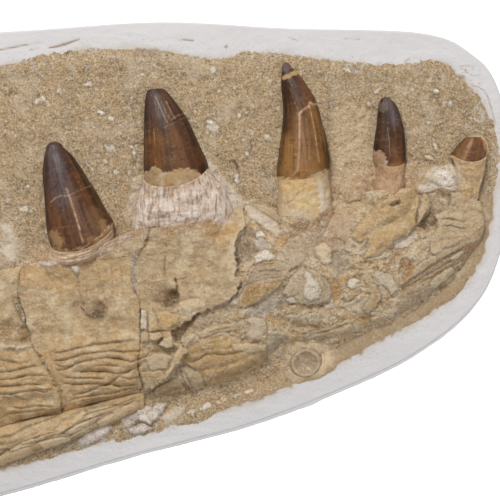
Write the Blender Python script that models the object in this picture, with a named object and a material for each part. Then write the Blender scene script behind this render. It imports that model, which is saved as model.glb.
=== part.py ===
"""A fossil mosasaur jaw, life size: the tooth-bearing bone of the lower jaw lying on its side in a slab of
phosphate sandstone, which sits in a white plaster jacket.

Units are metres, +Z up. X runs along the jaw to its front end, Y to the tooth tips, and Z up from the flat
back of the jacket, which lies on the floor. The origin is the middle of the block's box, at the floor.
Sizes below are in millimetres, and a mesh is scaled by MM when it is made.
"""

import math

import bmesh
import bpy
import numpy as np

MM = 0.001
GAP = 0.3  # clearance between pieces that touch

# Plaster jacket: its outer edge seen from above, from the front end round by the lower side
JACKET_OUTLINE = [
    (243.0, 49), (236.4, 13), (225.7, -7), (203, -25), (174, -39), (136, -53.5), (87, -66.5),
    (36, -81.6), (-20, -94), (-70, -103), (-125, -108), (-172, -102), (-208, -80), (-234, -46),
    (-243, -4), (-236, 38), (-212, 68), (-176, 84), (-128, 91), (-70, 97), (-10, 102), (44, 104.5),
    (100, 108), (150, 105.6), (205, 103.6), (225.7, 95), (236.4, 80.8),
]
JACKET_STEPS = 108
JACKET_PROFILE = [  # how far the wall stands in from that edge, and the height there
    (9.0, 0.0), (4.0, 2.0), (1.2, 8.0), (0.0, 18.0), (0.2, 33.0), (0.9, 38.5), (2.6, 42.2), (5.6, 43.8),
    (9.0, 44.0),
]
JACKET_FLOOR = 9.0

# Sandstone: its edge seen from above, where it meets the plaster rim
ROCK_OUTLINE = [
    (235.2, 52), (231, 20), (221, 2), (206, -9), (182, -23), (160, -34), (136.4, -43.3), (104, -53),
    (66, -62), (36, -71), (-20, -83), (-70, -92), (-123, -96.5), (-164, -91), (-196, -72), (-219, -42),
    (-227, -4), (-221, 33), (-201, 58), (-170, 72), (-126, 79), (-70, 85), (-8, 91), (36, 91),
    (72, 97), (100, 97), (121, 93.6), (144, 95.6), (176, 91.6), (192, 90), (213, 92), (226, 80),
    (233, 68),
]
ROCK_STEPS = 96
ROCK_HEIGHT = 45.0
ROCK_SWELLS = [(0.8, 23, 31, 0.0), (0.6, 13, -17, 1.0)]  # height, run along X and along Y, start
ROCK_FALL = (2.2, 8.0, 14.0)  # how far it drops below the jaw, how near the bone that starts, and its run
ROCK_CELL = 9.0
ROCK_HALF_SIZE = (245.0, 115.0)  # of the grid that is then trimmed to the pocket
ABOVE_ALL = 90.0  # a height clear of the whole block, for the tops of cutters

# Dentary, the tooth-bearing bone: its upper and lower margins, as (x, y), from back to front
UPPER_MARGIN = [
    (-212, -14), (-194, -5), (-150, -2.4), (-100, 0.4), (-20, 6.8), (36, 11.6), (68, 17), (92, 26),
    (109, 28.4), (124, 32), (136, 37), (150, 32.5), (162, 33.5), (180, 40.5), (203, 43), (219, 42), (228, 36),
]
LOWER_MARGIN = [
    (-212, -44), (-194, -63), (-150, -76), (-100, -80), (-20, -69), (36, -56), (66, -48), (94, -41),
    (120, -37.5), (136, -31.5), (147, -23), (159, -21), (172, -19.5), (183, -16), (197, -10), (216, 3),
    (228, 18),
]
BONE_STATIONS = 66
BONE_ACROSS = 14
EDGE_HEIGHT = 43.6  # where the bone's margins dip into the rock
CREST_HEIGHT = 56.5  # its outer face at mid height
BONE_UNDERSIDE = 28.0
BONE_SIDES = [(0.02, 7.0), (0.2, 0.0)]  # share of the width in from a margin, height over the underside
ARCH_SHAPE = (2.6, 0.7)  # powers of the arch across the bone: flat crown, steep margins
REAR_TAPER = (-216, 26, 0.25)  # from where, over what length and from what share the arch rises
FRONT_TAPER = (250, 60, 0.35)

# Splenial, the narrow bone along the lower edge of the dentary
SPLENIAL_LINE = [
    (-165, -80.5), (-140, -84.6), (-100, -86.8), (-20, -76), (36, -63.2), (66, -54.8), (93, -45.6),
]
SPLENIAL_HALF_WIDTH = 5.6
SPLENIAL_TOP = 49.4
SPLENIAL_UNDERSIDE = 36.0
SPLENIAL_STATIONS = 30
SPLENIAL_FACE = [(-1, 5.0), (-0.6, 1.4), (0, 0.0), (0.6, 1.0), (1, 4.0)]  # share across, depth below the top
SPLENIAL_ENDS = [(0.5, 4.0), (0.3, 2.2)]  # width left at the back and front tips, and its growth

# The crushed stretch of the jaw, in front of a slanting fracture, lies lower than the sound bone
CRUSH_OUTLINE = [
    (128, 40), (132, 14), (131, 4), (113, -9), (100, -21), (95, -50), (170, -40), (240, -10), (240, 28),
    (206, 30), (182, 20), (158, 24), (146, 30),
]
CRUSH_DEPTH = 5.0
CRUSH_SOFTNESS = 3.0

# Open fractures that part the bone into lengths, each as a zigzag from upper to lower margin
FRACTURES = [
    [(-70, 40), (-74, 5), (-70, -18), (-77, -46), (-73, -72), (-75, -120)],
    [(42, 50), (45, 7), (46.6, -5), (49.5, -17), (55.5, -27), (61, -37), (61, -100)],
    [(91, 70), (90.8, 5), (94, -6), (93.2, -13), (94.5, -22), (92, -38), (88, -100)],
]
FRACTURE_WIDTH = 0.8
FRACTURE_FLOOR = 10.0

# Blood-vessel holes along the outer face, as (x, y, half length, half width)
FORAMINA = [
    (43.4, -16.6, 6.0, 2.6), (76, -7.6, 4.4, 2.4), (104, -2.5, 4.6, 2.0), (194.3, 35.5, 2.0, 1.1),
    (-4, -23, 5.4, 2.6), (-46, -27, 5.0, 2.4), (-108, -30, 5.6, 2.6), (-158, -31, 4.8, 2.2),
]
FORAMEN_DEPTH = 2.6
FORAMEN_RAISE = 0.4

# Teeth seen in the photo, front to back: crown foot, whole tip, foot width, share of the crown left, bend of
# its middle line, and the length and foot width of the collar of bone under the crown
FRONT_TEETH = [
    {"foot": (223.2, 53), "tip": (228.5, 82), "width": 14.4, "left": 0.32, "bend": 1.0, "collar": (11, 13)},
    {"foot": (191.8, 50), "tip": (189.6, 79), "width": 13.4, "left": 0.97, "bend": 3.0, "collar": (10, 24)},
    {"foot": (157.6, 46), "tip": (150.0, 91.4), "width": 21.6, "left": 1.0, "bend": 3.0, "collar": (16, 23)},
    {"foot": (106.8, 45.2), "tip": (96.4, 86.4), "width": 25.4, "left": 0.87, "bend": 1.9, "collar": (16, 38)},
    {"foot": (69.6, 19.6), "tip": (58.0, 60.2), "width": 26.2, "left": 1.0, "bend": 1.3, "collar": (6, 30)},
]
# Teeth further back follow the upper margin: spacing, height and width shrink towards the back
BACK_TEETH = 7
BACK_TEETH_START = 21.0
BACK_TEETH_PITCH = (38.5, 31.5)
BACK_CROWN_HEIGHT = (40.0, 25.0)
BACK_CROWN_WIDTH = (25.6, 18.0)
BACK_CROWN_LEAN = (-10.5, -7.4)
BACK_CROWN_VARIATION = 0.05
BACK_FOOT_RAISE = 4.0  # how far above the margin the crown starts
BACK_COLLAR = (8.0, 1.18)  # length, and share of the crown's width
BROKEN_BACK_TOOTH = 3
BROKEN_SHARE_LEFT = 0.34
COLLAR_STATIONS = (1.5, 1.0, 0.5, 0.05)  # shares of the collar's length below the crown
COLLAR_FLARE = 1.3
COLLAR_DEPTH_SHARE = 0.78
COLLAR_DROP = 1.5  # its middle line lies this much deeper than the crown's
CROWN_AXIS_HEIGHT = 45.5
CROWN_AXIS_RISE = 1.5  # from foot to tip
CROWN_DEPTH_SHARE = 0.84  # how thick a crown is for its width
CROWN_TAPER = (1.5, 0.62)  # powers of its width from foot to tip: full below, narrowing to a point
CROWN_TIP_HALF_WIDTH = 0.6
CROWN_SIDES = 12
CROWN_RINGS = 8

# Sheets and blocks of broken bone on the crushed stretch: outline and top height
BROKEN_SLABS = [
    ([(96, -33.5), (106, -27.5), (110.5, -34), (101, -38)], 53.6),
    ([(109, -24), (116, -22), (119, -36.5), (111.5, -36)], 52.4),
    ([(112, -19), (124, -14.5), (146, -10), (145, -20), (132, -30), (120, -30)], 53.6),
    ([(133, -7), (139, -1), (147, 1.5), (149, -5), (140, -10)], 54.0),
    ([(209, 37), (216, 39), (224, 34), (225, 24), (219, 18), (210, 25)], 54.4),
    ([(158, 22.5), (166, 31), (184, 38), (203, 39.5), (207, 36), (196, 28), (178, 19.5), (164, 17)], 56.6),
    ([(131, 30), (137, 34), (148, 29), (153, 25), (144, 23)], 54.4),
]
SLAB_BEVEL = 1.6
SLAB_ROOT = 8.0  # how far above the bone's underside a slab starts
RUBBLE_COUNT = 26
RUBBLE_SIZE = (3.6, 6.6)
RUBBLE_NARROWER = 0.7  # its width for its length
RUBBLE_HALF_HEIGHT = 3.2
RUBBLE_SINK = 0.4
RUBBLE_JITTER = (0.85, 1.15)
RUBBLE_CLEARANCE = 3.0  # from the bone's margins
RUBBLE_AREA = ((140, -24), (226, 22))
RUBBLE_SEED = 7

# A small fish backbone disc that lies in the sandstone below the jaw's tip
DISC_CENTRE = (158.8, -28.4)
DISC_RADIUS = 5.4
DISC_THICKNESS = 5.0
DISC_HEIGHT = 46.4
DISC_DISH = 1.5
DISC_FACE = [(0.0, 1.0), (0.5, 0.8), (0.78, 0.0), (0.92, 0.0)]  # share of the radius, share of the dish
DISC_EDGE_BEVEL = 0.8
DISC_SIDES = 18

PLASTER = ("plaster", (0.69, 0.67, 0.68), 0.85)
SANDSTONE = ("phosphate_sandstone", (0.39, 0.28, 0.17), 0.9)
BONE = ("fossil_bone", (0.46, 0.33, 0.19), 0.7)
SPLENIAL_BONE = ("splenial_bone", (0.42, 0.29, 0.15), 0.7)
DISC_BONE = ("fish_bone", (0.42, 0.31, 0.19), 0.75)
SMOOTH_BELOW = math.radians(35)


def clear_scene():
    for obj in list(bpy.data.objects):
        bpy.data.objects.remove(obj)


def make_collection(name):
    made = bpy.data.collections.new(name)
    bpy.context.scene.collection.children.link(made)
    return made


def make_material(finish):
    name, colour, roughness = finish
    material = bpy.data.materials.new(name)
    material.use_nodes = True
    shader = material.node_tree.nodes["Principled BSDF"]
    shader.inputs["Base Color"].default_value = (*colour, 1)
    shader.inputs["Roughness"].default_value = roughness
    return material


def object_from(name, mesh_tool, collection):
    """An object whose mesh is the bmesh, scaled from millimetres to metres."""
    bmesh.ops.recalc_face_normals(mesh_tool, faces=mesh_tool.faces)
    bmesh.ops.scale(mesh_tool, vec=(MM, MM, MM), verts=mesh_tool.verts)
    mesh = bpy.data.meshes.new(name)
    mesh_tool.to_mesh(mesh)
    mesh_tool.free()
    made = bpy.data.objects.new(name, mesh)
    collection.objects.link(made)
    return made


def closed_curve(points, steps):
    """A closed smooth curve through the points, read at places spread evenly along it."""
    p = np.array(points, float)
    before, after, beyond = np.roll(p, 1, 0), np.roll(p, -1, 0), np.roll(p, -2, 0)
    t = np.linspace(0, 1, 16, endpoint=False)[None, :, None]
    a, b, c, d = (q[:, None, :] for q in (before, p, after, beyond))
    fine = 0.5 * (2 * b + (c - a) * t + (2 * a - 5 * b + 4 * c - d) * t**2 + (3 * b - a - 3 * c + d) * t**3)
    fine = fine.reshape(-1, 2)
    fine = np.vstack([fine, fine[:1]])
    along = np.concatenate([[0], np.cumsum(np.linalg.norm(np.diff(fine, axis=0), axis=1))])
    places = np.linspace(0, along[-1], steps, endpoint=False)
    return np.column_stack([np.interp(places, along, fine[:, k]) for k in (0, 1)])


def smooth_line(points):
    """The function y(x) of a smooth line through points that are sorted by x."""
    x, y = np.array(points, float).T
    slope = np.gradient(y, x)

    def value(at):
        at = np.clip(np.asarray(at, float), x[0], x[-1])
        k = np.clip(np.searchsorted(x, at) - 1, 0, len(x) - 2)
        step = x[k + 1] - x[k]
        t = (at - x[k]) / step
        rise = y[k] * (1 + 2 * t) * (1 - t) ** 2 + y[k + 1] * t * t * (3 - 2 * t)
        return rise + step * (slope[k] * t * (1 - t) ** 2 + slope[k + 1] * t * t * (t - 1))

    return value


def inset(outline, distance):
    """The closed outline moved inwards along its own normals."""
    along = np.roll(outline, -1, 0) - np.roll(outline, 1, 0)
    along /= np.linalg.norm(along, axis=1)[:, None]
    inwards = np.column_stack([along[:, 1], -along[:, 0]])
    if np.dot(inwards[0], outline.mean(0) - outline[0]) < 0:
        inwards = -inwards
    return outline + inwards * distance


def inside_share(x, y, outline, softness):
    """1 well inside the outline, 0 well outside, with a smooth step of the given softness at its edge."""
    corners = np.array(outline, float)
    nearest = np.full(np.shape(x), np.inf)
    inside = np.zeros(np.shape(x), bool)
    for (ax, ay), (bx, by) in zip(corners, np.roll(corners, -1, 0)):
        length = (bx - ax) ** 2 + (by - ay) ** 2
        t = np.clip(((x - ax) * (bx - ax) + (y - ay) * (by - ay)) / length, 0, 1)
        nearest = np.minimum(nearest, np.hypot(x - ax - t * (bx - ax), y - ay - t * (by - ay)))
        crosses = (ay > y) != (by > y)
        rise = by - ay if by != ay else 1.0
        inside ^= crosses & (x < (bx - ax) * (y - ay) / rise + ax)
    t = np.clip(0.5 + np.where(inside, nearest, -nearest) / (2 * softness), 0, 1)
    return t * t * (3 - 2 * t)


def loft(name, rings, collection):
    """A closed body through rings of equal point counts, with a flat cap at each end."""
    tool = bmesh.new()
    loops = [[tool.verts.new(p) for p in ring] for ring in rings]
    for low, high in zip(loops, loops[1:]):
        for k in range(len(low)):
            n = (k + 1) % len(low)
            tool.faces.new((low[k], low[n], high[n], high[k]))
    tool.faces.new(loops[0])
    tool.faces.new(loops[-1])
    return object_from(name, tool, collection)


def prism(name, outline, low, high, collection, bevel=0.0):
    """An upright block on the outline, from one height to another, with its upper edge bevelled."""
    tool = bmesh.new()
    floor = tool.faces.new([tool.verts.new((x, y, low)) for x, y in outline])
    raised = bmesh.ops.extrude_face_region(tool, geom=[floor])["geom"]
    lifted = [v for v in raised if isinstance(v, bmesh.types.BMVert)]
    bmesh.ops.translate(tool, vec=(0, 0, high - low), verts=lifted)
    if bevel:
        edges = [e for e in raised if isinstance(e, bmesh.types.BMEdge)]
        bmesh.ops.bevel(tool, geom=edges, offset=bevel, segments=1, affect="EDGES")
    return object_from(name, tool, collection)


def apply_boolean(obj, operation, other):
    """Joins, cuts or crosses obj with an object or with every object of a collection, and applies it."""
    modifier = obj.modifiers.new(operation.lower(), "BOOLEAN")
    modifier.operation = operation
    modifier.solver = "EXACT"
    if isinstance(other, bpy.types.Collection):
        modifier.operand_type = "COLLECTION"
        modifier.collection = other
    else:
        modifier.object = other
    graph = bpy.context.evaluated_depsgraph_get()
    mesh = bpy.data.meshes.new_from_object(obj.evaluated_get(graph))
    obj.modifiers.clear()
    obj.data = mesh
    return obj


def remove_all(objects):
    for obj in list(objects):
        bpy.data.objects.remove(obj)


def loose_bodies(tool):
    """The vertices of each separate body of a bmesh."""
    unseen = set(tool.verts)
    bodies = []
    while unseen:
        body, edge = [], [unseen.pop()]
        while edge:
            vert = edge.pop()
            body.append(vert)
            near = {e.other_vert(vert) for e in vert.link_edges} & unseen
            unseen -= near
            edge.extend(near)
        bodies.append(body)
    return bodies


def keep_largest_body(obj):
    """Drops every loose scrap, and any sealed hollow, by keeping the closed surface with the most points."""
    tool = bmesh.new()
    tool.from_mesh(obj.data)
    bodies = sorted(loose_bodies(tool), key=len)
    for body in bodies[:-1]:
        bmesh.ops.delete(tool, geom=body, context="VERTS")
    tool.to_mesh(obj.data)
    tool.free()
    return obj


def rock_surface(x, y):
    """Height of the sandstone: nearly level, in long low swells, falling away below the jaw."""
    swell = sum(height * np.sin(x / along + y / up + start) for height, along, up, start in ROCK_SWELLS)
    drop, near, run = ROCK_FALL
    return ROCK_HEIGHT + swell - drop * np.clip((LOWER(x) + near - y) / run, 0, 1)


def bone_surface(x, y):
    """Height of the bone's outer face: a broad arch between its margins, lower where it is crushed."""
    share = np.clip((y - LOWER(x)) / (UPPER(x) - LOWER(x)), 0, 1)
    crown_power, margin_power = ARCH_SHAPE
    arch = np.clip(1 - np.abs(2 * share - 1) ** crown_power, 0, 1) ** margin_power
    (rear, rear_length, rear_share), (front, front_length, front_share) = REAR_TAPER, FRONT_TAPER
    rear_taper = np.clip((x - rear) / rear_length, rear_share, 1)
    front_taper = np.clip((front - x) / front_length, front_share, 1)
    crushed = CRUSH_DEPTH * inside_share(x, y, CRUSH_OUTLINE, CRUSH_SOFTNESS)
    rise = (CREST_HEIGHT - EDGE_HEIGHT) * rear_taper * front_taper
    return EDGE_HEIGHT + arch * (rise - crushed)


def bone_body(name, grow, collection):
    """The whole bone as a loft of upright sections from back to front, made larger all round by grow."""
    rings = []
    first, last = UPPER_MARGIN[0][0] - grow, UPPER_MARGIN[-1][0] + grow
    for x in np.linspace(first, last, BONE_STATIONS):
        low, high = float(LOWER(x)) - grow, float(UPPER(x)) + grow
        across = low + (high - low) * (1 - np.cos(np.linspace(0, math.pi, BONE_ACROSS))) / 2
        face = bone_surface(np.full(BONE_ACROSS, x), across) + grow
        ring = [(x, y, z) for y, z in zip(across, face)]
        width, floor = high - low, BONE_UNDERSIDE - grow
        ring += [(x, high - share * width, floor + rise) for share, rise in BONE_SIDES]
        ring += [(x, low + share * width, floor + rise) for share, rise in reversed(BONE_SIDES)]
        rings.append(ring)
    return loft(name, rings, collection)


def all_teeth():
    """The measured front teeth, then the ones that follow the upper margin to the back."""
    teeth = list(FRONT_TEETH)
    x = BACK_TEETH_START
    for k in range(BACK_TEETH):
        t = k / (BACK_TEETH - 1)
        height, width, lean, pitch = (
            front + (back - front) * t
            for front, back in (BACK_CROWN_HEIGHT, BACK_CROWN_WIDTH, BACK_CROWN_LEAN, BACK_TEETH_PITCH)
        )
        height *= 1 + BACK_CROWN_VARIATION * math.sin(2.7 * k + 1)
        foot = (x, float(UPPER(x)) + BACK_FOOT_RAISE)
        length, wider = BACK_COLLAR
        teeth.append({
            "foot": foot,
            "tip": (x + lean, foot[1] + height),
            "width": width,
            "left": BROKEN_SHARE_LEFT if k == BROKEN_BACK_TOOTH else 1.0,
            "bend": 1.5 + 0.5 * math.sin(1.9 * k),
            "collar": (length, width * wider),
        })
        x -= pitch
    return teeth


def tooth_ring(centre, across, half_width, half_depth, height):
    """One oval section: its long axis lies level along across, its short axis upright."""
    angles = np.linspace(0, 2 * math.pi, CROWN_SIDES, endpoint=False)
    flat = np.outer(np.cos(angles) * half_width, across) + centre
    return [(x, y, height + half_depth * math.sin(a)) for (x, y), a in zip(flat, angles)]


def tooth_body(name, tooth, grow, collection):
    """A crown that narrows and leans back to its tip, and the collar of bone that carries it."""
    foot, tip = np.array(tooth["foot"]), np.array(tooth["tip"])
    chord = (tip - foot) / np.linalg.norm(tip - foot)
    across = np.array([chord[1], -chord[0]])
    half = tooth["width"] / 2
    length, collar_width = tooth["collar"]
    rings = []
    for t in COLLAR_STATIONS:
        wide = half + (collar_width / 2 - half) * min(t, 1.0) ** COLLAR_FLARE + grow
        centre = foot - chord * length * t
        depth, height = wide * COLLAR_DEPTH_SHARE, CROWN_AXIS_HEIGHT - COLLAR_DROP
        rings.append(tooth_ring(centre, across, wide, depth, height))
    foot_power, tip_power = CROWN_TAPER
    for s in np.linspace(0.02, tooth["left"], CROWN_RINGS):
        taper = max(1 - s**foot_power, 0.0) ** tip_power
        wide = max(half * taper, CROWN_TIP_HALF_WIDTH) + grow
        centre = np.array([
            foot[0] + (tip[0] - foot[0]) * s ** tooth["bend"],
            foot[1] + (tip[1] - foot[1]) * s,
        ])
        if s == tooth["left"]:
            centre = centre + chord * grow
        height = CROWN_AXIS_HEIGHT + CROWN_AXIS_RISE * s
        rings.append(tooth_ring(centre, across, wide, wide * CROWN_DEPTH_SHARE, height))
    return loft(name, rings, collection)


def rubble(collection):
    """Angular lumps of broken bone, strewn over the crushed stretch of the jaw."""
    draw = np.random.default_rng(RUBBLE_SEED)
    (x0, y0), (x1, y1) = RUBBLE_AREA
    made = 0
    while made < RUBBLE_COUNT:
        x, y = draw.uniform(x0, x1), draw.uniform(y0, y1)
        size = draw.uniform(*RUBBLE_SIZE)
        turn = draw.uniform(0, math.pi)
        room = min(y - float(LOWER(x)), float(UPPER(x)) - y)
        if room < size + RUBBLE_CLEARANCE or inside_share(x, y, CRUSH_OUTLINE, 1.0) < 1:
            continue
        tool = bmesh.new()
        bmesh.ops.create_icosphere(tool, subdivisions=1, radius=1)
        stretch = np.array([size, size * RUBBLE_NARROWER, RUBBLE_HALF_HEIGHT])
        for vert in tool.verts:
            px, py, pz = np.array(vert.co) * stretch * draw.uniform(*RUBBLE_JITTER)
            vert.co = (
                x + px * math.cos(turn) - py * math.sin(turn),
                y + px * math.sin(turn) + py * math.cos(turn),
                float(bone_surface(x, y)) - RUBBLE_SINK + pz,
            )
        object_from(f"lump_{made}", tool, collection)
        made += 1


def foramen_cutters(collection):
    """Oval pits that slant into the bone towards the front, one for each blood-vessel hole."""
    for k, (x, y, half_length, half_width) in enumerate(FORAMINA):
        tool = bmesh.new()
        bmesh.ops.create_uvsphere(tool, u_segments=10, v_segments=6, radius=1)
        bmesh.ops.scale(tool, vec=(half_length, half_width, FORAMEN_DEPTH), verts=tool.verts)
        bmesh.ops.translate(tool, vec=(x, y, float(bone_surface(x, y)) + FORAMEN_RAISE), verts=tool.verts)
        object_from(f"foramen_{k}", tool, collection)


def fracture_cutters(collection):
    """Thin upright zigzag walls that part the bone into the lengths that its fractures left."""
    half = FRACTURE_WIDTH / 2
    for k, line in enumerate(FRACTURES):
        there = [(x + half, y) for x, y in line]
        back = [(x - half, y) for x, y in reversed(line)]
        prism(f"fracture_{k}", there + back, FRACTURE_FLOOR, ABOVE_ALL, collection)


def jaw(name, grow, pieces):
    """The bone with its teeth fused in. The model's own jaw also carries its broken slabs and rubble."""
    body = bone_body(name, grow, pieces)
    joined = make_collection(f"{name}_joined")
    for k, tooth in enumerate(all_teeth()):
        tooth_body(f"{name}_tooth_{k}", tooth, grow, joined)
    if not grow:
        for k, (outline, top) in enumerate(BROKEN_SLABS):
            prism(f"slab_{k}", outline, BONE_UNDERSIDE + SLAB_ROOT, top, joined, SLAB_BEVEL)
        rubble(joined)
    apply_boolean(body, "UNION", joined)
    remove_all(joined.objects)
    bpy.data.collections.remove(joined)
    return keep_largest_body(body)


def split_jaw(whole, pieces, cutters):
    """The jaw cut into lengths at its fractures, each named for where it lies."""
    foramen_cutters(cutters)
    fracture_cutters(cutters)
    apply_boolean(whole, "DIFFERENCE", cutters)
    remove_all(cutters.objects)
    edges = [-math.inf] + [np.mean([x for x, _ in line]) for line in FRACTURES] + [math.inf]
    names = ("dentary_rear", "dentary_middle_rear", "dentary_middle_front", "dentary_front")
    made = []
    for name, low, high in zip(names, edges, edges[1:]):
        tool = bmesh.new()
        tool.from_mesh(whole.data)
        for body in loose_bodies(tool):
            middle = np.mean([v.co.x for v in body]) / MM
            if not low < middle < high:
                bmesh.ops.delete(tool, geom=body, context="VERTS")
        mesh = bpy.data.meshes.new(name)
        tool.to_mesh(mesh)
        tool.free()
        length = bpy.data.objects.new(name, mesh)
        pieces.objects.link(length)
        made.append(keep_largest_body(length))
    bpy.data.objects.remove(whole)
    return made


def splenial(name, grow, collection):
    """A narrow bone strip that follows the lower margin and tapers to its front end."""
    line = smooth_line(SPLENIAL_LINE)
    first, last = SPLENIAL_LINE[0][0], SPLENIAL_LINE[-1][0]
    rings = []
    (back, back_rate), (front, front_rate) = SPLENIAL_ENDS
    for x in np.linspace(first - grow, last + grow, SPLENIAL_STATIONS):
        share = (x - first) / (last - first)
        narrow = min(1.0, back + back_rate * share, front + front_rate * (1 - share))
        half = SPLENIAL_HALF_WIDTH * narrow - GAP + grow
        y, top, floor = float(line(x)), SPLENIAL_TOP + grow, SPLENIAL_UNDERSIDE - grow
        face = [(x, y + side * half, top - depth) for side, depth in SPLENIAL_FACE]
        rings.append([(x, y - half, floor), *face, (x, y + half, floor)])
    return loft(name, rings, collection)


def fish_disc(name, grow, collection):
    """A small round backbone disc, dished on its face, turned about its own upright axis."""
    radius, low = DISC_RADIUS + grow, DISC_HEIGHT - DISC_THICKNESS - grow
    dish = 0.0 if grow else DISC_DISH
    profile = [(share * radius, DISC_HEIGHT - depth * dish) for share, depth in DISC_FACE]
    profile += [(radius, DISC_HEIGHT - DISC_EDGE_BEVEL), (radius, low), (0.0, low)]
    tool = bmesh.new()
    verts = [tool.verts.new((DISC_CENTRE[0] + r, DISC_CENTRE[1], z)) for r, z in profile]
    for a, b in zip(verts, verts[1:]):
        tool.edges.new((a, b))
    bmesh.ops.spin(
        tool, geom=tool.verts[:] + tool.edges[:], cent=(*DISC_CENTRE, 0), axis=(0, 0, 1),
        angle=2 * math.pi, steps=DISC_SIDES, use_merge=True,
    )
    bmesh.ops.remove_doubles(tool, verts=tool.verts, dist=0.001)
    return object_from(name, tool, collection)


def plaster_jacket(pieces, cutters):
    """A hand-laid plaster tray: flat back, bulging wall, rounded rim, and a pocket for the sandstone."""
    outline = closed_curve(JACKET_OUTLINE, JACKET_STEPS)
    rings = []
    for distance, height in JACKET_PROFILE:
        rings.append([(x, y, height) for x, y in inset(outline, distance)])
    jacket = loft("plaster_jacket", rings, pieces)
    pocket = prism("pocket", closed_curve(ROCK_OUTLINE, ROCK_STEPS), JACKET_FLOOR, ABOVE_ALL, cutters)
    apply_boolean(jacket, "DIFFERENCE", pocket)
    remove_all([pocket])
    return keep_largest_body(jacket)


def rock_slab(pieces, cutters):
    """The sandstone: a relief grid given depth, trimmed to the pocket, and cut to take all that lies in it."""
    tool = bmesh.new()
    across_x, across_y = (round(2 * half / ROCK_CELL) for half in ROCK_HALF_SIZE)
    bmesh.ops.create_grid(tool, x_segments=across_x, y_segments=across_y, size=1)
    bmesh.ops.scale(tool, vec=(*ROCK_HALF_SIZE, 1), verts=tool.verts)
    for vert in tool.verts:
        vert.co.z = float(rock_surface(vert.co.x, vert.co.y))
    rim = [e for e in tool.edges if e.is_boundary]
    skirt = bmesh.ops.extrude_edge_only(tool, edges=rim)["geom"]
    for vert in (v for v in skirt if isinstance(v, bmesh.types.BMVert)):
        vert.co.z = JACKET_FLOOR + GAP
    open_edges = [e for e in skirt if isinstance(e, bmesh.types.BMEdge) and e.is_boundary]
    bmesh.ops.contextual_create(tool, geom=open_edges)
    slab = object_from("rock_matrix", tool, pieces)
    edge = inset(closed_curve(ROCK_OUTLINE, ROCK_STEPS), GAP)
    trim = prism("rock_trim", edge, 0, ABOVE_ALL, cutters)
    apply_boolean(slab, "INTERSECT", trim)
    remove_all([trim])
    jaw("jaw_room", GAP, cutters)
    apply_boolean(slab, "DIFFERENCE", cutters)
    remove_all(cutters.objects)
    splenial("splenial_room", GAP, cutters)
    fish_disc("disc_room", GAP, cutters)
    apply_boolean(slab, "DIFFERENCE", cutters)
    remove_all(cutters.objects)
    return keep_largest_body(slab)


def build():
    clear_scene()
    pieces = make_collection("fossil_mosasaur_jaw")
    cutters = make_collection("cutters")
    cutters.hide_render = True
    made = [
        (plaster_jacket(pieces, cutters), PLASTER),
        (rock_slab(pieces, cutters), SANDSTONE),
        (splenial("splenial", 0.0, pieces), SPLENIAL_BONE),
        (fish_disc("fish_vertebra", 0.0, pieces), DISC_BONE),
    ]
    made += [(length, BONE) for length in split_jaw(jaw("jaw", 0.0, pieces), pieces, cutters)]
    for obj, finish in made:
        obj.data.materials.clear()
        obj.data.materials.append(make_material(finish))
        obj.data.shade_smooth()
        obj.data.set_sharp_from_angle(angle=SMOOTH_BELOW)


UPPER = smooth_line(UPPER_MARGIN)
LOWER = smooth_line(LOWER_MARGIN)
build()
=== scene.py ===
import math

import bpy
import numpy as np
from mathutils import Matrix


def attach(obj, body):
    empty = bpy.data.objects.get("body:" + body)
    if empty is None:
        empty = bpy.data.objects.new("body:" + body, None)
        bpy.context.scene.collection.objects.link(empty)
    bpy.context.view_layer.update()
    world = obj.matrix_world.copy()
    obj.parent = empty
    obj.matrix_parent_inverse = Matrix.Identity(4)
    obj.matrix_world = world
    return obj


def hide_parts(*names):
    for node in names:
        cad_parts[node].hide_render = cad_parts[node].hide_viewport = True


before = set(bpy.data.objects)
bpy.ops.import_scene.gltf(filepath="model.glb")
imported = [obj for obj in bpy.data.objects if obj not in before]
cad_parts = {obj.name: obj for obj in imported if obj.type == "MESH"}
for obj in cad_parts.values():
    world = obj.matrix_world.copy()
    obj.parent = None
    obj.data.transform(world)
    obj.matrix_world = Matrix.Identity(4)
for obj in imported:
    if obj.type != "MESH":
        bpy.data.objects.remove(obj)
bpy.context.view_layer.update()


# Plaster jacket: white plaster laid by hand round the block, with a broad level rim, a bulging wall and a
# flat back. The rim is dusted with sand from the stone and carries a few brown scratches.
MM = 0.001
PIXEL = 0.4  # millimetres that one pixel of the photograph spans
PHOTO_CORNER = (36.4, 117.2)  # where its upper left corner falls


def path(text):
    """The points of a line or an outline, written as x,y pairs with blanks between them."""
    return np.array([pair.split(",") for pair in text.split()], float)


JACKET_OUTLINE = path(
    "243,49 236.4,13 225.7,-7 203,-25 174,-39 136,-53.5 87,-66.5 36,-81.6 -20,-94 -70,-103 -125,-108 "
    "-172,-102 -208,-80 -234,-46 -243,-4 -236,38 -212,68 -176,84 -128,91 -70,97 -10,102 44,104.5 100,108 "
    "150,105.6 205,103.6 225.7,95 236.4,80.8"
)
JACKET_WALL = path("9,0 4,2 1.2,8 0,18 0,36 0,42.6 0.08,43.4 0.25,43.85 0.6,44")
JACKET_STEPS = 1240  # closest where the photograph shows the jacket
JACKET_LEAN, JACKET_BELLY = 1.8, 1.3  # how far the rim leans in and the wall stands out, away from the teeth
JACKET_LAPS = ((15, 5, 60, 8), (31, 4, 45, 9))  # edges of plaster bands: height, sway, its length and seed
RIM_HEIGHT = 44.0
RIM_TUCK, RIM_FALL = 5.0, 0.32  # how far the rim runs on under the sand, and how fast it sinks there
POCKET_LIP, POCKET_FLOOR = 38.0, 9.3
RAY_REACH = 45.0  # no part of the rim is wider
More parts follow.
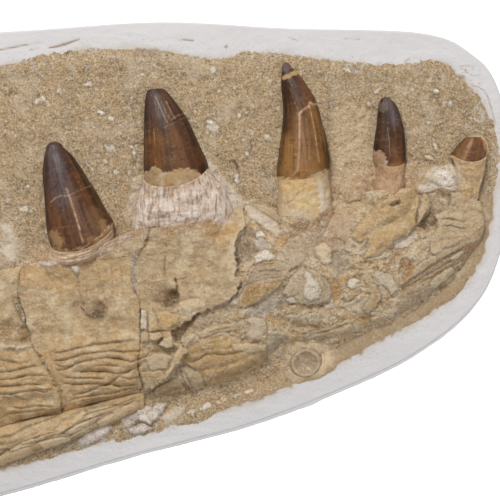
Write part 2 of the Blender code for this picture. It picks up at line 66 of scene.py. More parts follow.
ROCK_OUTLINE = path(
    "235.2,52 231,20 221,2 206,-9 182,-23 160,-34 136.4,-43.3 104,-53 66,-62 36,-71 -20,-83 -70,-92 "
    "-123,-96.5 -164,-91 -196,-72 -219,-42 -227,-4 -221,33 -201,58 -170,72 -126,79 -70,85 -8,91 36,91 "
    "72,97 100,97 121,93.6 144,95.6 176,91.6 192,90 213,92 226,80 233,68"
)


def spot(points):
    """Millimetres of a path or points in pixels: the photograph's corner plus pixels times their size."""
    px, py = np.asarray(path(points) if isinstance(points, str) else points, float).T
    return np.column_stack([PHOTO_CORNER[0] + px * PIXEL, PHOTO_CORNER[1] - py * PIXEL])


def step(low, high, value):
    """0 up to low and 1 from high on, with a smooth cubic rise between. Low may be the larger."""
    t = np.clip((value - low) / (high - low), 0, 1)
    return t * t * (3 - 2 * t)


def bell(value):
    """A bell curve: 1 at 0, and falling to 0 with the square of the value."""
    return np.exp(-(value**2))


def swell(x, y, size, seed):
    """Random smooth relief, about -1 to 1: a random slope at each corner of a grid, blended across it."""
    gx, gy = x / size + 17.3 * seed, y / size - 9.1 * seed
    ix, iy = np.floor(gx), np.floor(gy)
    fx, fy = gx - ix, gy - iy

    def corner(dx, dy):
        turn = np.sin((ix + dx) * 127.1 + (iy + dy) * 311.7 + seed * 74.7) * 43758.5453
        turn = (turn - np.floor(turn)) * 2 * math.pi
        return np.cos(turn) * (fx - dx) + np.sin(turn) * (fy - dy)

    u, v = fx**3 * (fx * (6 * fx - 15) + 10), fy**3 * (fy * (6 * fy - 15) + 10)
    low = corner(0, 0) * (1 - u) + corner(1, 0) * u
    high = corner(0, 1) * (1 - u) + corner(1, 1) * u
    return 1.55 * (low * (1 - v) + high * v)


def rough(x, y, size, seed, octaves=4, gain=0.5):
    """Relief at several sizes: swells whose size halves and whose height falls by the gain each time."""
    return sum(gain**k * swell(x, y, size / 2**k, seed + k) for k in range(octaves))


def blotches(x, y, size, seed, low=0.1, high=0.8, octaves=3):
    """Soft-edged blotches: 0 where rough relief of that size lies up to low, and 1 from high on."""
    return step(low, high, rough(x, y, size, seed, octaves))


def cells(x, y, size, seed):
    """Random cells round scattered points.

    Gives the distances to the nearest and next point, the cell's number 0 to 1, and the way from its point.
    """
    gx, gy = x / size + 3.7 * seed, y / size + 5.9 * seed
    ix, iy = np.floor(gx), np.floor(gy)
    first, second = np.full(gx.shape, 9.0), np.full(gx.shape, 9.0)
    number, across, up = (np.zeros(gx.shape) for _ in range(3))
    for dx in (-1, 0, 1):
        for dy in (-1, 0, 1):
            cx, cy = ix + dx, iy + dy
            a = np.sin(cx * 127.1 + cy * 311.7 + seed) * 43758.5453
            b = np.sin(cx * 269.5 + cy * 183.3 + seed) * 43758.5453
            a, b = a - np.floor(a), b - np.floor(b)
            to_x, to_y = gx - cx - a, gy - cy - b
            away = np.hypot(to_x, to_y)
            nearer = away < first
            second = np.where(nearer, first, np.minimum(second, away))
            number = np.where(nearer, (a * 7.31 + b * 3.17) % 1.0, number)
            across, up = np.where(nearer, to_x, across), np.where(nearer, to_y, up)
            first = np.where(nearer, away, first)
    return first, second, number, across, up


def follow(x, y, line, closed=False):
    """Distance to a line through points, the side (above 0 on its left) and the share of its length.

    All three are those of the nearest straight piece.
    """
    line = np.asarray(line, float)
    ends = np.vstack([line, line[:1]]) if closed else line
    lengths = np.linalg.norm(np.diff(ends, axis=0), axis=1)
    starts = np.concatenate([[0], np.cumsum(lengths)])
    nearest, side, share = np.full(x.shape, 1e9), np.ones(x.shape), np.zeros(x.shape)
    for (ax, ay), (bx, by), length, start in zip(ends, ends[1:], lengths, starts):
        dx, dy = (bx - ax) / length, (by - ay) / length
        t = np.clip((x - ax) * dx + (y - ay) * dy, 0, length)
        away = np.hypot(x - ax - t * dx, y - ay - t * dy)
        nearer = away < nearest
        side = np.where(nearer, np.sign(dx * (y - ay) - dy * (x - ax)), side)
        share = np.where(nearer, (start + t) / starts[-1], share)
        nearest = np.where(nearer, away, nearest)
    return nearest, side, share


def within(x, y, outline):
    """True inside a closed outline, by counting how many of its sides lie to the right of each place."""
    inside = np.zeros(x.shape, bool)
    for (ax, ay), (bx, by) in zip(outline, np.roll(outline, -1, 0)):
        rise = by - ay if by != ay else 1.0
        inside ^= ((ay > y) != (by > y)) & (x < (bx - ax) * (y - ay) / rise + ax)
    return inside


def curve(points, steps, closed=False):
    """A smooth curve through points (Catmull-Rom), open or closed, read at places spread evenly along it."""
    p = np.array(points, float)
    if not closed:
        p = np.vstack([2 * p[0] - p[1], p, 2 * p[-1] - p[-2]])
    a, b, c, d = (np.roll(p, -k, 0)[:, None] for k in (-1, 0, 1, 2))
    t = np.linspace(0, 1, 32, endpoint=False)[None, :, None]
    fine = 0.5 * (2 * b + (c - a) * t + (2 * a - 5 * b + 4 * c - d) * t**2 + (3 * b - a - 3 * c + d) * t**3)
    own, last = (fine, p[:1]) if closed else (fine[1:-2], p[-2:-1])
    fine = np.vstack([own.reshape(-1, 2), last])
    run = np.concatenate([[0], np.cumsum(np.linalg.norm(np.diff(fine, axis=0), axis=1))])
    places = np.linspace(0, run[-1], steps, endpoint=not closed)
    return np.column_stack([np.interp(places, run, fine[:, k]) for k in (0, 1)])


def inwards(outline):
    """Unit directions that point into a closed outline, square to it."""
    along = np.roll(outline, -1, 0) - np.roll(outline, 1, 0)
    along /= np.linalg.norm(along, axis=1)[:, None]
    normal = np.column_stack([along[:, 1], -along[:, 0]])
    return normal if np.dot(normal[0], outline.mean(0) - outline[0]) > 0 else -normal


def srgb(colour):
    """Linear light of a screen colour, written with two hexadecimal digits each for red, green and blue.

    A colour that is linear already is given back as it is.
    """
    if not isinstance(colour, int):
        return colour
    c = np.array([colour >> 16, colour >> 8 & 255, colour & 255]) / 255
    return np.where(c <= 0.04045, c / 12.92, ((c + 0.055) / 1.055) ** 2.4)


def paint(colour, *coats):
    """Colours per point: the first, then each (share, colour) coat laid over it by its share."""
    share = np.asarray(coats[0][0])
    made = np.broadcast_to(srgb(colour), share.shape + (3,)).copy()
    for share, coat in coats:
        share = np.clip(share, 0, 1)[..., None]
        made += share * (srgb(coat) - made)
    return made


def rings_body(rings):
    """Points and faces of rings stacked into a body, each end closed by a fan to the middle of its box."""
    count, around = rings.shape[:2]
    middles = [(ring.min(0) + ring.max(0)) / 2 for ring in (rings[0], rings[-1])]
    points = np.vstack([rings.reshape(-1, 3), *middles])
    here = np.arange(count * around).reshape(count, around)
    there = np.roll(here, -1, 1)
    sides = np.stack([here[:-1], there[:-1], there[1:], here[1:]], -1).reshape(-1, 4)
    low = np.column_stack([there[0], here[0], np.full(around, count * around)])
    high = np.column_stack([here[-1], there[-1], np.full(around, count * around + 1)])
    return points, [sides, low, high]


def for_ends(values):
    """Values per ring point, with the mean of each end ring added for the two middles of rings_body."""
    flat = values.reshape(-1, *values.shape[2:])
    return np.concatenate([flat, values[0].mean(0)[None], values[-1].mean(0)[None]])


def make_piece(name, rings, material, slot, replaced=(), **marks):
    """A smooth closed piece at the origin from stacked rings in millimetres, turned to face outwards.

    Marks are a number or a colour for each point of the rings, or one number for all of them, and are kept as
    attributes that the materials read.
    """
    points, faces = rings_body(rings)
    a, b, c = (points[faces[0][:, k]] for k in (0, 1, 2))
    d = points[faces[0][:, -1]]
    volume = np.einsum("ij,ij->i", a, np.cross(b, c)).sum() + np.einsum("ij,ij->i", a, np.cross(c, d)).sum()
    if volume < 0:
        faces = [f[:, ::-1] for f in faces]
    mesh = bpy.data.meshes.new(name)
    corners = np.concatenate([f.ravel() for f in faces])
    sizes = np.concatenate([np.full(len(f), f.shape[1]) for f in faces])
    mesh.vertices.add(len(points))
    mesh.vertices.foreach_set("co", (points * MM).astype(np.float32).ravel())
    mesh.loops.add(len(corners))
    mesh.loops.foreach_set("vertex_index", corners.astype(np.int32))
    mesh.polygons.add(len(sizes))
    mesh.polygons.foreach_set("loop_start", np.concatenate([[0], np.cumsum(sizes)[:-1]]).astype(np.int32))
    mesh.update(calc_edges=True)
    mesh.validate()
    for mark, values in marks.items():
        values = for_ends(values) if np.ndim(values) else np.full(len(points), values)
        coloured = values.ndim == 2
        kept = mesh.attributes.new(mark, "FLOAT_COLOR" if coloured else "FLOAT", "POINT")
        if coloured:
            values = np.column_stack([values, np.ones(len(values))])
        kept.data.foreach_set("color" if coloured else "value", values.astype(np.float32).ravel())
    mesh.shade_smooth()
    mesh.materials.append(material)
    made = bpy.data.objects.new(name, mesh)
    bpy.context.scene.collection.objects.link(made)
    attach(made, "root")
    if replaced:
        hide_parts(*replaced)
    return made


class Wire:
    """One output of a material's nodes. Sums and products of wires and numbers add Math nodes."""

    def __init__(self, tree, socket):
        self.tree = tree
        self.socket = socket

    def node(self, kind, inputs=None, out=0, **settings):
        """Adds a node of that type with its settings, links or sets its inputs, and gives the output out."""
        made = self.tree.nodes.new("ShaderNode" + kind)
        stops = settings.pop("stops", ())
        for name, value in settings.items():
            setattr(made, name, value)
        for k, (place, value) in enumerate(stops):
            element = made.color_ramp.elements[k] if k < 2 else made.color_ramp.elements.new(place)
            element.position = place
            element.color = (value, value, value, 1)
        for name, value in (inputs or {}).items():
            if isinstance(value, Wire):
                self.tree.links.new(value.socket, made.inputs[name])
            else:
                made.inputs[name].default_value = value
        return Wire(self.tree, made.outputs[out])

    def maths(self, operation, *values):
        return self.node("Math", dict(enumerate(values)), operation=operation)

    def __add__(self, other):
        return self.maths("ADD", self, other)

    def __sub__(self, other):
        return self.maths("SUBTRACT", self, other)

    def __rsub__(self, other):
        return self.maths("SUBTRACT", other, self)

    def __mul__(self, other):
        return self.maths("MULTIPLY", self, other)

    __radd__ = __add__
    __rmul__ = __mul__

    def between(self, low, high):
        """0 below low and 1 above high, with a smooth rise between. Low may be the larger."""
        return self.node("MapRange", {0: self, 1: low, 2: high}, interpolation_type="SMOOTHSTEP")

    def noise(self, size, detail=2.0, roughness=0.5, stretch=None):
        """Noise from 0 to 1 whose swells measure about size millimetres, stretched by a vector if given."""
        at = self.node("Mapping", {"Vector": self, "Scale": stretch}) if stretch else self
        inputs = {"Vector": at, "Scale": 0.5 / (size * MM), "Detail": detail, "Roughness": roughness}
        return self.node("TexNoise", inputs)

    def grains(self, size, out="Color", feature="F1"):
        """Random cells about size millimetres across: a colour each, or the distance to the middle."""
        return self.node("TexVoronoi", {"Vector": self, "Scale": 1 / (size * MM)}, out=out, feature=feature)

    def mix(self, share, other, blend="MIX"):
        """This colour with another laid over it by share."""
        inputs = {0: share, 6: self, 7: other}
        return self.node("Mix", inputs, out=2, data_type="RGBA", blend_type=blend)

    def coats(self, *rows):
        """This colour with coats over it: each a wire, its bare and full ends, strength, colour and masks."""
        colour = self
        for wire, bare, full, strength, coat, *masks in rows:
            share = wire.between(bare, full)
            for mask in masks:
                share = share * mask
            colour = colour.mix(share * strength, coat)
        return colour


def new_material(name, roughness, **sockets):
    """A Principled material, its shader node, and wires for the place on the object and for the tint mark."""
    material = bpy.data.materials.new(name)
    material.use_nodes = True
    tree = material.node_tree
    shader = tree.nodes["Principled BSDF"]
    shader.inputs["Roughness"].default_value = roughness
    for socket, value in sockets.items():
        shader.inputs[socket.replace("_", " ")].default_value = value
    place = Wire(tree, tree.nodes.new("ShaderNodeTexCoord").outputs["Object"])
    tint = place.node("Attribute", out="Color", attribute_name="tint")
    return material, shader, place, tint


def mark_of(wire, name):
    """The wire of a number kept per point under that name."""
    return wire.node("Attribute", out="Fac", attribute_name=name)


def finish_with(shader, colour=None, roughness=None, relief=None, height=0.1):
    """Feeds the shader's colour and roughness, and a relief of so many millimetres as bump."""
    tree = shader.id_data
    if colour:
        tree.links.new(colour.socket, shader.inputs["Base Color"])
    if roughness:
        tree.links.new(roughness.socket, shader.inputs["Roughness"])
    if relief:
        bump = relief.node("Bump", {"Height": relief, "Distance": height * MM, "Strength": 1.0})
        tree.links.new(bump.socket, shader.inputs["Normal"])


def plaster_finish():
    """Chalky white plaster: faint clouds, pin-hole pores and specks of sand where the dust mark is high."""
    material, shader, place, tint = new_material("plaster", 0.82)
    dust = mark_of(place, "dust")
    specks = place.noise(0.9, 3.0, 0.7).between(0.66, 0.74)
    fine = place.noise(0.35, 2.0).between(0.6, 0.72)
    clouds = place.noise(9.0, 3.0)
    brown, pale = (0.30, 0.21, 0.12, 1), (0.56, 0.53, 0.50, 1)
    colour = tint.coats((clouds, 0.45, 0.75, 0.12, pale))
    colour = colour.mix((specks * 0.9 + fine * 0.45) * dust.between(0.0, 1.0), brown)
    relief = place.noise(1.6, 5.0, 0.62) + place.noise(0.4, 2.0) * 0.25
    finish_with(shader, colour, None, relief, 0.35)
    return material


JACKET_WHITE = srgb(0xD4D1D0)
JACKET_PAINTED_SHADE = srgb(0xBEBBBE)
JACKET_SCRATCHES = [  # in the photograph's pixels, with half width in millimetres and strength
    ("-4,49.5 8,47.5 18,45.5 28,43.5", 0.34, 0.85),
    ("26,44 33,42.5 40,41.5", 0.2, 0.5),
    ("48,46.8 56,45.8 66,43 79,38.3", 0.46, 1.0),
    ("28,49.5 34,48 41,47", 0.24, 0.5),
    ("178,39.5 185,39.3 193,40", 0.3, 0.8),
    ("225,46 227,46", 0.9, 0.9),
    ("288,37 293,38 298,40", 0.25, 0.6),
    ("345,38 352,37.4 360,38.6", 0.2, 0.5),
    ("404,62 408,59 412,58", 0.3, 0.5),
    ("459,66 466,65 474,66", 0.2, 0.6),
    ("461,68 467,69 468,72 463,72", 0.2, 0.5),
    ("468,72 474,75 480,75 481,73", 0.2, 0.6),
    ("472,85 479,86 485,90 489,97 492,107 495,117 498,126", 0.22, 0.75),
    ("480,82 481,84", 0.3, 0.5),
]


def jacket_rings():
    """Closed rings up the wall, over the rim and down into the pocket.

    The wall is the profile carried round the outline along its inward directions. The rim runs straight from
    the wall's last ring to the stone's outline and on beyond it, and sinks there. Relief is added along the
    normal.
    """
    even = curve(JACKET_OUTLINE, 9000, closed=True)
    run = np.cumsum(np.where(even[:, 0] > 30, 3.6, 1.0))
    outer = even[np.searchsorted(run, np.linspace(run[0], run[-1], JACKET_STEPS, endpoint=False))]
    normal = inwards(outer)
    lower_side = np.clip(normal[:, 1], 0, 1)
    stone = curve(ROCK_OUTLINE, 4 * JACKET_STEPS, closed=True)
    ray = stone[None] - outer[:, None]
    ahead = np.einsum("ijk,ik->ij", ray, normal)
    aside = np.abs(ray[..., 0] * normal[:, 1, None] - ray[..., 1] * normal[:, 0, None])
    edge = stone[np.argmin(aside + np.where((ahead < 0) | (ahead > RAY_REACH), 1e6, 0), 1)]
    smooth = np.exp(-0.5 * (np.arange(-8, 9) / 3.0) ** 2)
    smooth /= smooth.sum()
    padded = np.vstack([edge[-8:], edge, edge[:8]])
    edge = np.column_stack([np.convolve(padded[:, k], smooth, "valid") for k in (0, 1)])
    inset, height = np.array(JACKET_WALL).T
    run = np.concatenate([[0], np.cumsum(np.hypot(np.diff(inset), np.diff(height)))])
    places = np.linspace(0, run[-1], 40)
    rings = []
    for k, (d, z) in enumerate(zip(np.interp(places, run, inset), np.interp(places, run, height))):
        drawn = JACKET_LEAN * step(35.5, 43, z) - JACKET_BELLY * step(0, 20, z)
        raised = 1.0 * step(6, 26, z) * np.clip(-normal[:, 1], 0, 1)
        x, y = (outer + normal * (d + lower_side * drawn - raised)[:, None]).T
        low = np.clip(z / 3, 0, 1) * np.clip((RIM_HEIGHT - z) / 10, 0.1, 1)
        lumps = swell(x + z, y - z, 19, 3) + 0.5 * rough(x + 2 * z, y - 2 * z, 5, 5, 3)
        low_lap, high_lap = (z - at - sway * swell(x, y, size, seed) for at, sway, size, seed in JACKET_LAPS)
        lap = 0.55 * step(-0.5, 0.5, low_lap) - 0.45 * step(-0.4, 0.4, high_lap)
        push = ((0.7 - 0.35 * step(24, 36, z)) * lumps + lap) * low
        rings.append(np.column_stack([x - normal[:, 0] * push, y - normal[:, 1] * push, np.full(len(x), z)]))
    last = rings[-1]
    beyond = edge - outer
    beyond /= np.linalg.norm(beyond, axis=1)[:, None]
    inner = edge + RIM_TUCK * beyond
    for t in np.linspace(0, 1, 33)[1:]:
        across = last[:, :2] + (inner - last[:, :2]) * t
        past = np.einsum("ij,ij->i", across - edge, beyond)
        z = RIM_HEIGHT + 0 * past
        z += np.clip(t * 4, 0, 1) * rim_relief(*across.T) - RIM_FALL * np.clip(past, 0, None)
        rings.append(np.column_stack([across, z]))
    for height in (POCKET_LIP, POCKET_FLOOR):
        rings.append(np.column_stack([inner + 0.3 * beyond, np.full(len(inner), height)]))
    return np.array(rings)


def rim_relief(x, y):
    """Height of the hand-smoothed rim over its level: long swells, trowel ripples and fine roughness."""
    ripples = 0.12 * rough(x * 0.5 + y * 0.2, y * 1.4, 5, 21, 3)
    return 0.45 * swell(x, y, 47, 11) + 0.22 * swell(x, y, 13, 12) + ripples + 0.05 * rough(x, y, 1.6, 14, 2)


def sand_edge(x, y):
    """How far a place lies inside the stone's outline, in millimetres, below 0 outside it."""
    outline = curve(ROCK_OUTLINE, 200, closed=True)
    away, _, _ = follow(x, y, outline, closed=True)
    return np.where(within(x, y, outline), away, -away)


rings = jacket_rings()
x, y, z = rings[..., 0], rings[..., 1], rings[..., 2]
inside = sand_edge(x, y)
scratch = np.zeros(x.shape)
for line, half_width, strength in JACKET_SCRATCHES:
    away, _, share = follow(x, y, spot(line))
    tapered = half_width * (0.4 + 2.4 * share * (1 - share))
    scratch = np.maximum(scratch, strength * bell(away / tapered) * (z > 40))
z -= 0.25 * scratch
# Painted shade: the plaster is darkened down the wall below the rim, and towards the lower side, away from
# the lamp.
shade = np.clip((RIM_HEIGHT - z) / 20, 0, 1) * 0.4 + 0.2 * step(20, -90, y)
tint = paint(
    JACKET_WHITE,
    (shade, JACKET_PAINTED_SHADE),
    (0.5 * step(-3.2, 0.4, inside + 1.3 * rough(x, y, 6, 31, 4)), 0xBEAC94),
    (step(-0.9, 0.5, inside + 1.2 * rough(x, y, 3.5, 33, 4)), 0x9E8668),
    (0.9 * scratch, 0x865E32),
)
dust = 0.22 + 0.25 * step(0.1, 0.8, swell(x, y, 22, 35)) + 0.55 * step(-9, 0, inside)
dust *= np.where(z > 30, 1, 0.5)
make_piece("jacket", rings, plaster_finish(), "plaster", ["plaster_jacket"], tint=tint, dust=dust)


# Phosphate sandstone: the loose, sandy bed that holds the jaw, picked back to leave the bone proud and
# brushed clean. It fills the plaster and ends against it in a ragged line, smeared here and there with white.
ROCK_HEIGHT = 45.0
ROCK_SWELLS = [(0.8, 23, 31, 0.0), (0.6, 13, -17, 1.0)]  # height, length along x and y, start
ROCK_FALL = (2.2, 8.0, 14.0)  # how far it drops below the jaw, from how near to the bone, within what run
ROCK_SPREAD = 3.0  # how far it reaches under the plaster's rim
ROCK_BASE = 11.0
UPPER_MARGIN = path(
    "-212,-14 -194,-5 -150,-2.4 -100,0.4 -20,6.8 36,11.6 68,17 92,26 109,28.4 124,32 136,37 150,32.5 "
    "162,33.5 180,40.5 203,43 219,42 228,36"
)
LOWER_MARGIN = path(
    "-212,-44 -194,-63 -150,-76 -100,-80 -20,-69 36,-56 66,-48 94,-41 120,-37.5 136,-31.5 147,-23 159,-21 "
    "172,-19.5 183,-16 197,-10 216,3 228,18"
)


def margin(line, x):
    """Height across the jaw of a smooth curve: cubic pieces with the mean slope at each of its points."""
    px, py = np.array(line, float).T
    slope = np.gradient(py, px)
    k = np.clip(np.searchsorted(px, x) - 1, 0, len(px) - 2)
    run = px[k + 1] - px[k]
    t = np.clip((x - px[k]) / run, 0, 1)
    ends = py[k] * (1 + 2 * t) * (1 - t) ** 2 + py[k + 1] * t**2 * (3 - 2 * t)
    return ends + run * t * (1 - t) * (slope[k] * (1 - t) - slope[k + 1] * t)


def ground(x, y):
    """Level of the stone: two long swells about its height, less a fall below the bone's lower margin."""
    swells = sum(high * np.sin(x / along + y / up + start) for high, along, up, start in ROCK_SWELLS)
    drop, near, run = ROCK_FALL
    return ROCK_HEIGHT + swells - drop * np.clip((margin(LOWER_MARGIN, x) + near - y) / run, 0, 1)


def picked_sand(x, y):
    """Relief of picked sand: broad lumps, crumbs, hollows of a few millimetres and a few proud grains."""
    first, _, number, _, _ = cells(x, y, 2.6, 4)
    grains = np.clip(0.18 + 0.2 * (number * 31 % 1) - first, 0, 1) * (number > 0.93)
    hollows = np.clip(rough(x, y, 4.2, 47, 3) - 0.35, 0, 1)
    return 0.62 * rough(x, y, 13, 45, 3) + 0.30 * rough(x, y, 2.6, 41, 4, 0.65) + 1.2 * grains - 1.0 * hollows


# The third colour is painted shade, laid in furrows, on their lower flanks and under a root. The first is the
# bed's deep tone, which is also laid as painted shade round the foot of raised plates.
BED_DEEP, BED_PALE, PAINTED_SHADE_BROWN = srgb(0x8E775A), srgb(0xD7C7AD), srgb(0x70583C)
SAND_CHIPS = [  # pixel, half length and width in pixels, turn in degrees, place in the chips' colours
    (87, 84, 4.5, 2.0, 5, 0), (58, 90, 3.6, 1.8, 65, 1), (43, 98, 3.5, 1.8, 110, 1),
    (48, 103, 4, 2, 130, 2), (100, 112, 3.4, 2.0, 160, 0), (111, 119, 2.8, 2.4, 0, 1),
    (120, 124, 1.3, 1.3, 0, 0), (66, 127, 2.4, 1.6, 0, 1), (53, 116, 1.6, 1.2, 0, 1),
    (33, 127, 1.8, 1.5, 0, 2), (5, 131, 1.8, 1.6, 0, 2), (110, 148, 5.4, 3.4, 170, 3),
    (105, 161, 3.4, 2.0, 140, 2), (91, 168, 5.0, 1.1, 130, 0), (86, 163, 2.4, 1.0, 120, 3),
    (115, 172, 2.0, 2.6, 0, 0), (129, 172, 3.0, 2.4, 0, 3), (98, 155, 1.6, 1.5, 0, 2),
    (96, 88, 2.2, 1.8, 0, 2), (88, 67, 3.4, 1.6, 40, 3), (37, 100, 3.6, 2.2, 60, 3),
    (134, 152, 1.5, 5.0, 0, 0), (131, 146, 1.2, 1.6, 0, 0), (213, 70, 2.6, 3.6, 20, 0),
    (212, 125, 7.0, 5.0, 150, 3), (210, 122, 4.0, 1.8, 160, 0), (219, 91, 1.6, 1.4, 0, 1),
    (235, 88, 1.2, 1.0, 0, 1), (239, 115, 1.6, 1.8, 0, 0), (247, 112, 2.6, 1.8, 20, 3),
    (268, 137, 4.4, 2.6, 160, 1), (250, 132, 3.6, 2.6, 0, 2), (244, 140, 1.5, 1.6, 0, 3),
    (247, 154, 1.0, 1.2, 0, 0), (237, 179, 2.0, 4.4, 10, 0), (142, 74, 2.2, 1.4, 20, 1),
    (348, 70, 5.0, 2.4, 160, 1), (378, 90, 4.6, 1.8, 40, 1), (370, 104, 1.5, 3.0, 20, 2),
    (368, 118, 4.6, 1.8, 60, 1), (337, 108, 1.8, 1.6, 0, 3), (338, 149, 1.8, 1.2, 20, 0),
    (345, 171, 1.8, 4.0, 20, 1), (437, 90, 3.6, 2.2, 170, 0), (484, 128, 2.2, 1.4, 20, 1),
    (429, 122, 2.4, 1.6, 0, 3), (419, 142, 1.0, 1.2, 0, 0), (426, 142, 1.1, 1.2, 0, 0),
    (436, 146, 2.0, 5.0, 10, 1), (430, 157, 4.6, 2.2, 165, 1), (413, 89, 1.4, 1.6, 0, 2),
    (28, 186, 1.6, 1.4, 0, 0), (8, 200, 3.0, 2.0, 20, 3), (24, 209, 4.4, 3.0, 10, 1),
    (31, 211, 1.6, 1.4, 0, 0), (244, 205, 4.0, 2.6, 120, 3), (235, 200, 3.0, 1.8, 100, 0),
    (262, 170, 1.8, 1.2, 0, 2), (221, 401, 6, 2.4, 22, 2), (206, 407, 7, 2.6, 24, 3),
    (236, 396, 4, 1.6, 18, 3), (192, 412, 5, 2.2, 20, 3), (250, 392, 5, 1.8, 15, 2),
    (341, 196, 2.0, 1.4, 0, 1), (451, 104, 2.2, 3.4, 0, 3),
]
CHIP_COLOURS = [srgb(code) for code in (0xFAF6EE, 0xEEDEC4, 0xDCBC9C, 0xD8CFC3)]
LIMESTONE, LIMESTONE_DEEP = srgb(0xCEC4BC), srgb(0xAC9E8C)
SAND_PATCHES = [  # outline, lift, softness, two colours; if tilted, its rise to the right and up, and folds
    ("76,441 88,428 102,422 112,419 114,428 102,438 88,447 79,447", 1.6, 0.9, LIMESTONE, LIMESTONE_DEEP, 0,
     0.1, []),
    ("112,420 128,414 141,409 142,418 131,427 116,430", 1.7, 0.7, LIMESTONE, LIMESTONE_DEEP, 0, 0.05, []),
    ("138,411 147,406 156,410 160,417 150,425 140,421", 1.9, 0.5, 0xDAD1CA, LIMESTONE),
    ("127,429 142,424 153,428 143,434 130,435", 0.8, 0.6, LIMESTONE, LIMESTONE_DEEP),
    ("147,414 158,404 167,404 162,413 152,419", 1.8, 0.45, 0xD4CAC0, LIMESTONE),
    ("160,419 174,408 188,404 182,414 168,424", 0.7, 0.7, 0xC4B4A0, LIMESTONE),
    ("108,424 118,420 122,426 112,431", 0.4, 0.5, 0xBC986A, 0xAA8C68),
    ("208,158 218,170 230,184 242,198 252,213 240,216 229,202 218,186 210,172", 0.3, 1.3, 0xD0C2B2,
     0xBAA68E),
    ("132,178 142,172 142,196 134,214 127,222 124,216", 0.2, 1.3, 0xC4B29C, 0xB29C80),
    ("344,214 348,194 356,178 366,168 412,168 422,180 430,198 420,216", 3.2, 3.0, 0xB29270, 0xC0A282),
    ("334,112 352,104 372,112 371,150 356,168 346,190 337,180", 0.0, 3.0, 0xC6AD8A, 0xBAA07D),
    ("284,354 298,342 318,343 334,352 336,368 322,381 300,383 284,374", 1.0, 2.4, 0xC4AC8C, 0xB09674),
    ("0,224 10,222 16,240 17,262 0,268", 0.9, 1.6, 0xD6C6B2, 0xC0A688),
    ("468,136 480,134 488,142 489,158 482,160 476,146", 0.5, 0.5, 0xDEB880, BED_PALE),
    ("418,186 426,175 436,167 448,164 460,168 460,190 440,193 424,193", 1.4, 1.1, 0xD8CBBA, 0xB29672),
    ("430,180 436,170 448,170 456,184 444,187", 1.8, 0.6, 0xEAE2D6, 0xCEB89A),
    ("36,240 46,246 52,260 40,264 24,262", 0.2, 1.6, 0xC0A482, 0xB49672),
]
SAND_LINES = [  # in pixels, half width and height in millimetres, colour and its share
    ("436,68 433,76 429,81", 1.0, 0.5, 0xE4D2B8, 0.9),
    ("444,74 443,82 437,86", 0.7, 0.5, 0xE2D2BA, 0.9),
    ("452,72 456,80 455,90 451,98", 0.4, 0.5, 0xC8B69C, 0.7),
    ("308,64 313,70 316,78", 0.5, 0.5, 0xD0BC9E, 0.8),
    ("480,105 475,109 473.6,115 476,121 481,123 484.5,118 483.6,111 480,107.5", 0.65, 0.7, 0xECDEC6, 1.0),
    ("478,112 480,118", 1.2, 0.3, 0xCEB090, 0.8),
    ("102,56.5 110,57 118,55.5 121,53", 0.4, 0.2, 0xD8D2C8, 0.8),
    ("128,61 145,60 158,58.5 172,59.5 186,62 200,63", 0.5, 0.1, 0xD0C6B6, 0.55),
    ("131,55 150,55 166,57", 1.6, 0.0, 0xAA9C88, 0.6),
    ("8,67 14,66 20,69", 0.4, 0.2, 0xCCC2B2, 0.6),
    ("36,73 48,70", 0.7, 0.2, 0xC0B4A2, 0.6),
    ("262,57 270,54 280,57", 0.8, 0.1, 0xCEC6BA, 0.6),
    # The rows from here on have a height below 0. They are grooves and holes, and their dark browns are
    # painted shade.
    ("233,160 236,164 238,170", 0.55, -1.4, 0x46301C, 0.9),
    ("229,163 231,161", 0.4, -0.9, 0x463422, 0.8),
    ("236,94 237,95", 0.4, -0.8, 0x5C4832, 0.8),
    ("204,95 212,93 217,90", 0.5, -0.5, 0x786246, 0.4),
    ("430,99 436,96 441,98", 1.2, -0.9, 0x705C44, 0.6),
    ("440,102 443,112 441,122", 0.5, -0.6, 0x7E684E, 0.5),
    ("410,108 420,114 428,116", 0.45, -0.5, 0x806A50, 0.5),
    ("432,134 440,130 447,125", 0.45, -0.6, 0x7E684E, 0.5),
    ("436,127 444,124 450,119", 0.4, -0.5, 0x7E684E, 0.4),
    ("410,158 424,160 436,163", 0.6, -0.5, 0x886848, 0.5),
    ("96,82 102,84", 0.5, -0.6, 0x705C42, 0.6),
    ("36,139 46,138", 0.35, -0.5, 0x745E42, 0.5),
]


def chip_outline(px, py, long, wide, turn):
    """An uneven seven-sided outline in pixels about a middle, drawn out along its turn."""
    way = np.linspace(0, 2 * math.pi, 7, endpoint=False)
    reach = 1 + 0.22 * np.sin(3.1 * way * way + px)
    along, aside = long * reach * np.cos(way), wide * reach * np.sin(way)
    cos, sin = math.cos(math.radians(turn)), math.sin(math.radians(turn))
    return np.column_stack([px + along * cos - aside * sin, py - along * sin - aside * cos])


def plate_share(x, y, outline, soft, seed):
    """How far inside a plate's ragged outline each place lies, and its share of the plate from 0 to 1."""
    away, _, _ = follow(x, y, outline, closed=True)
    inside = np.where(within(x, y, outline), away, -away)
    inside += (0.3 + 0.25 * soft) * rough(x, y, 2.4 + soft, seed, 3, 0.6)
    return inside, step(-soft, soft, inside)


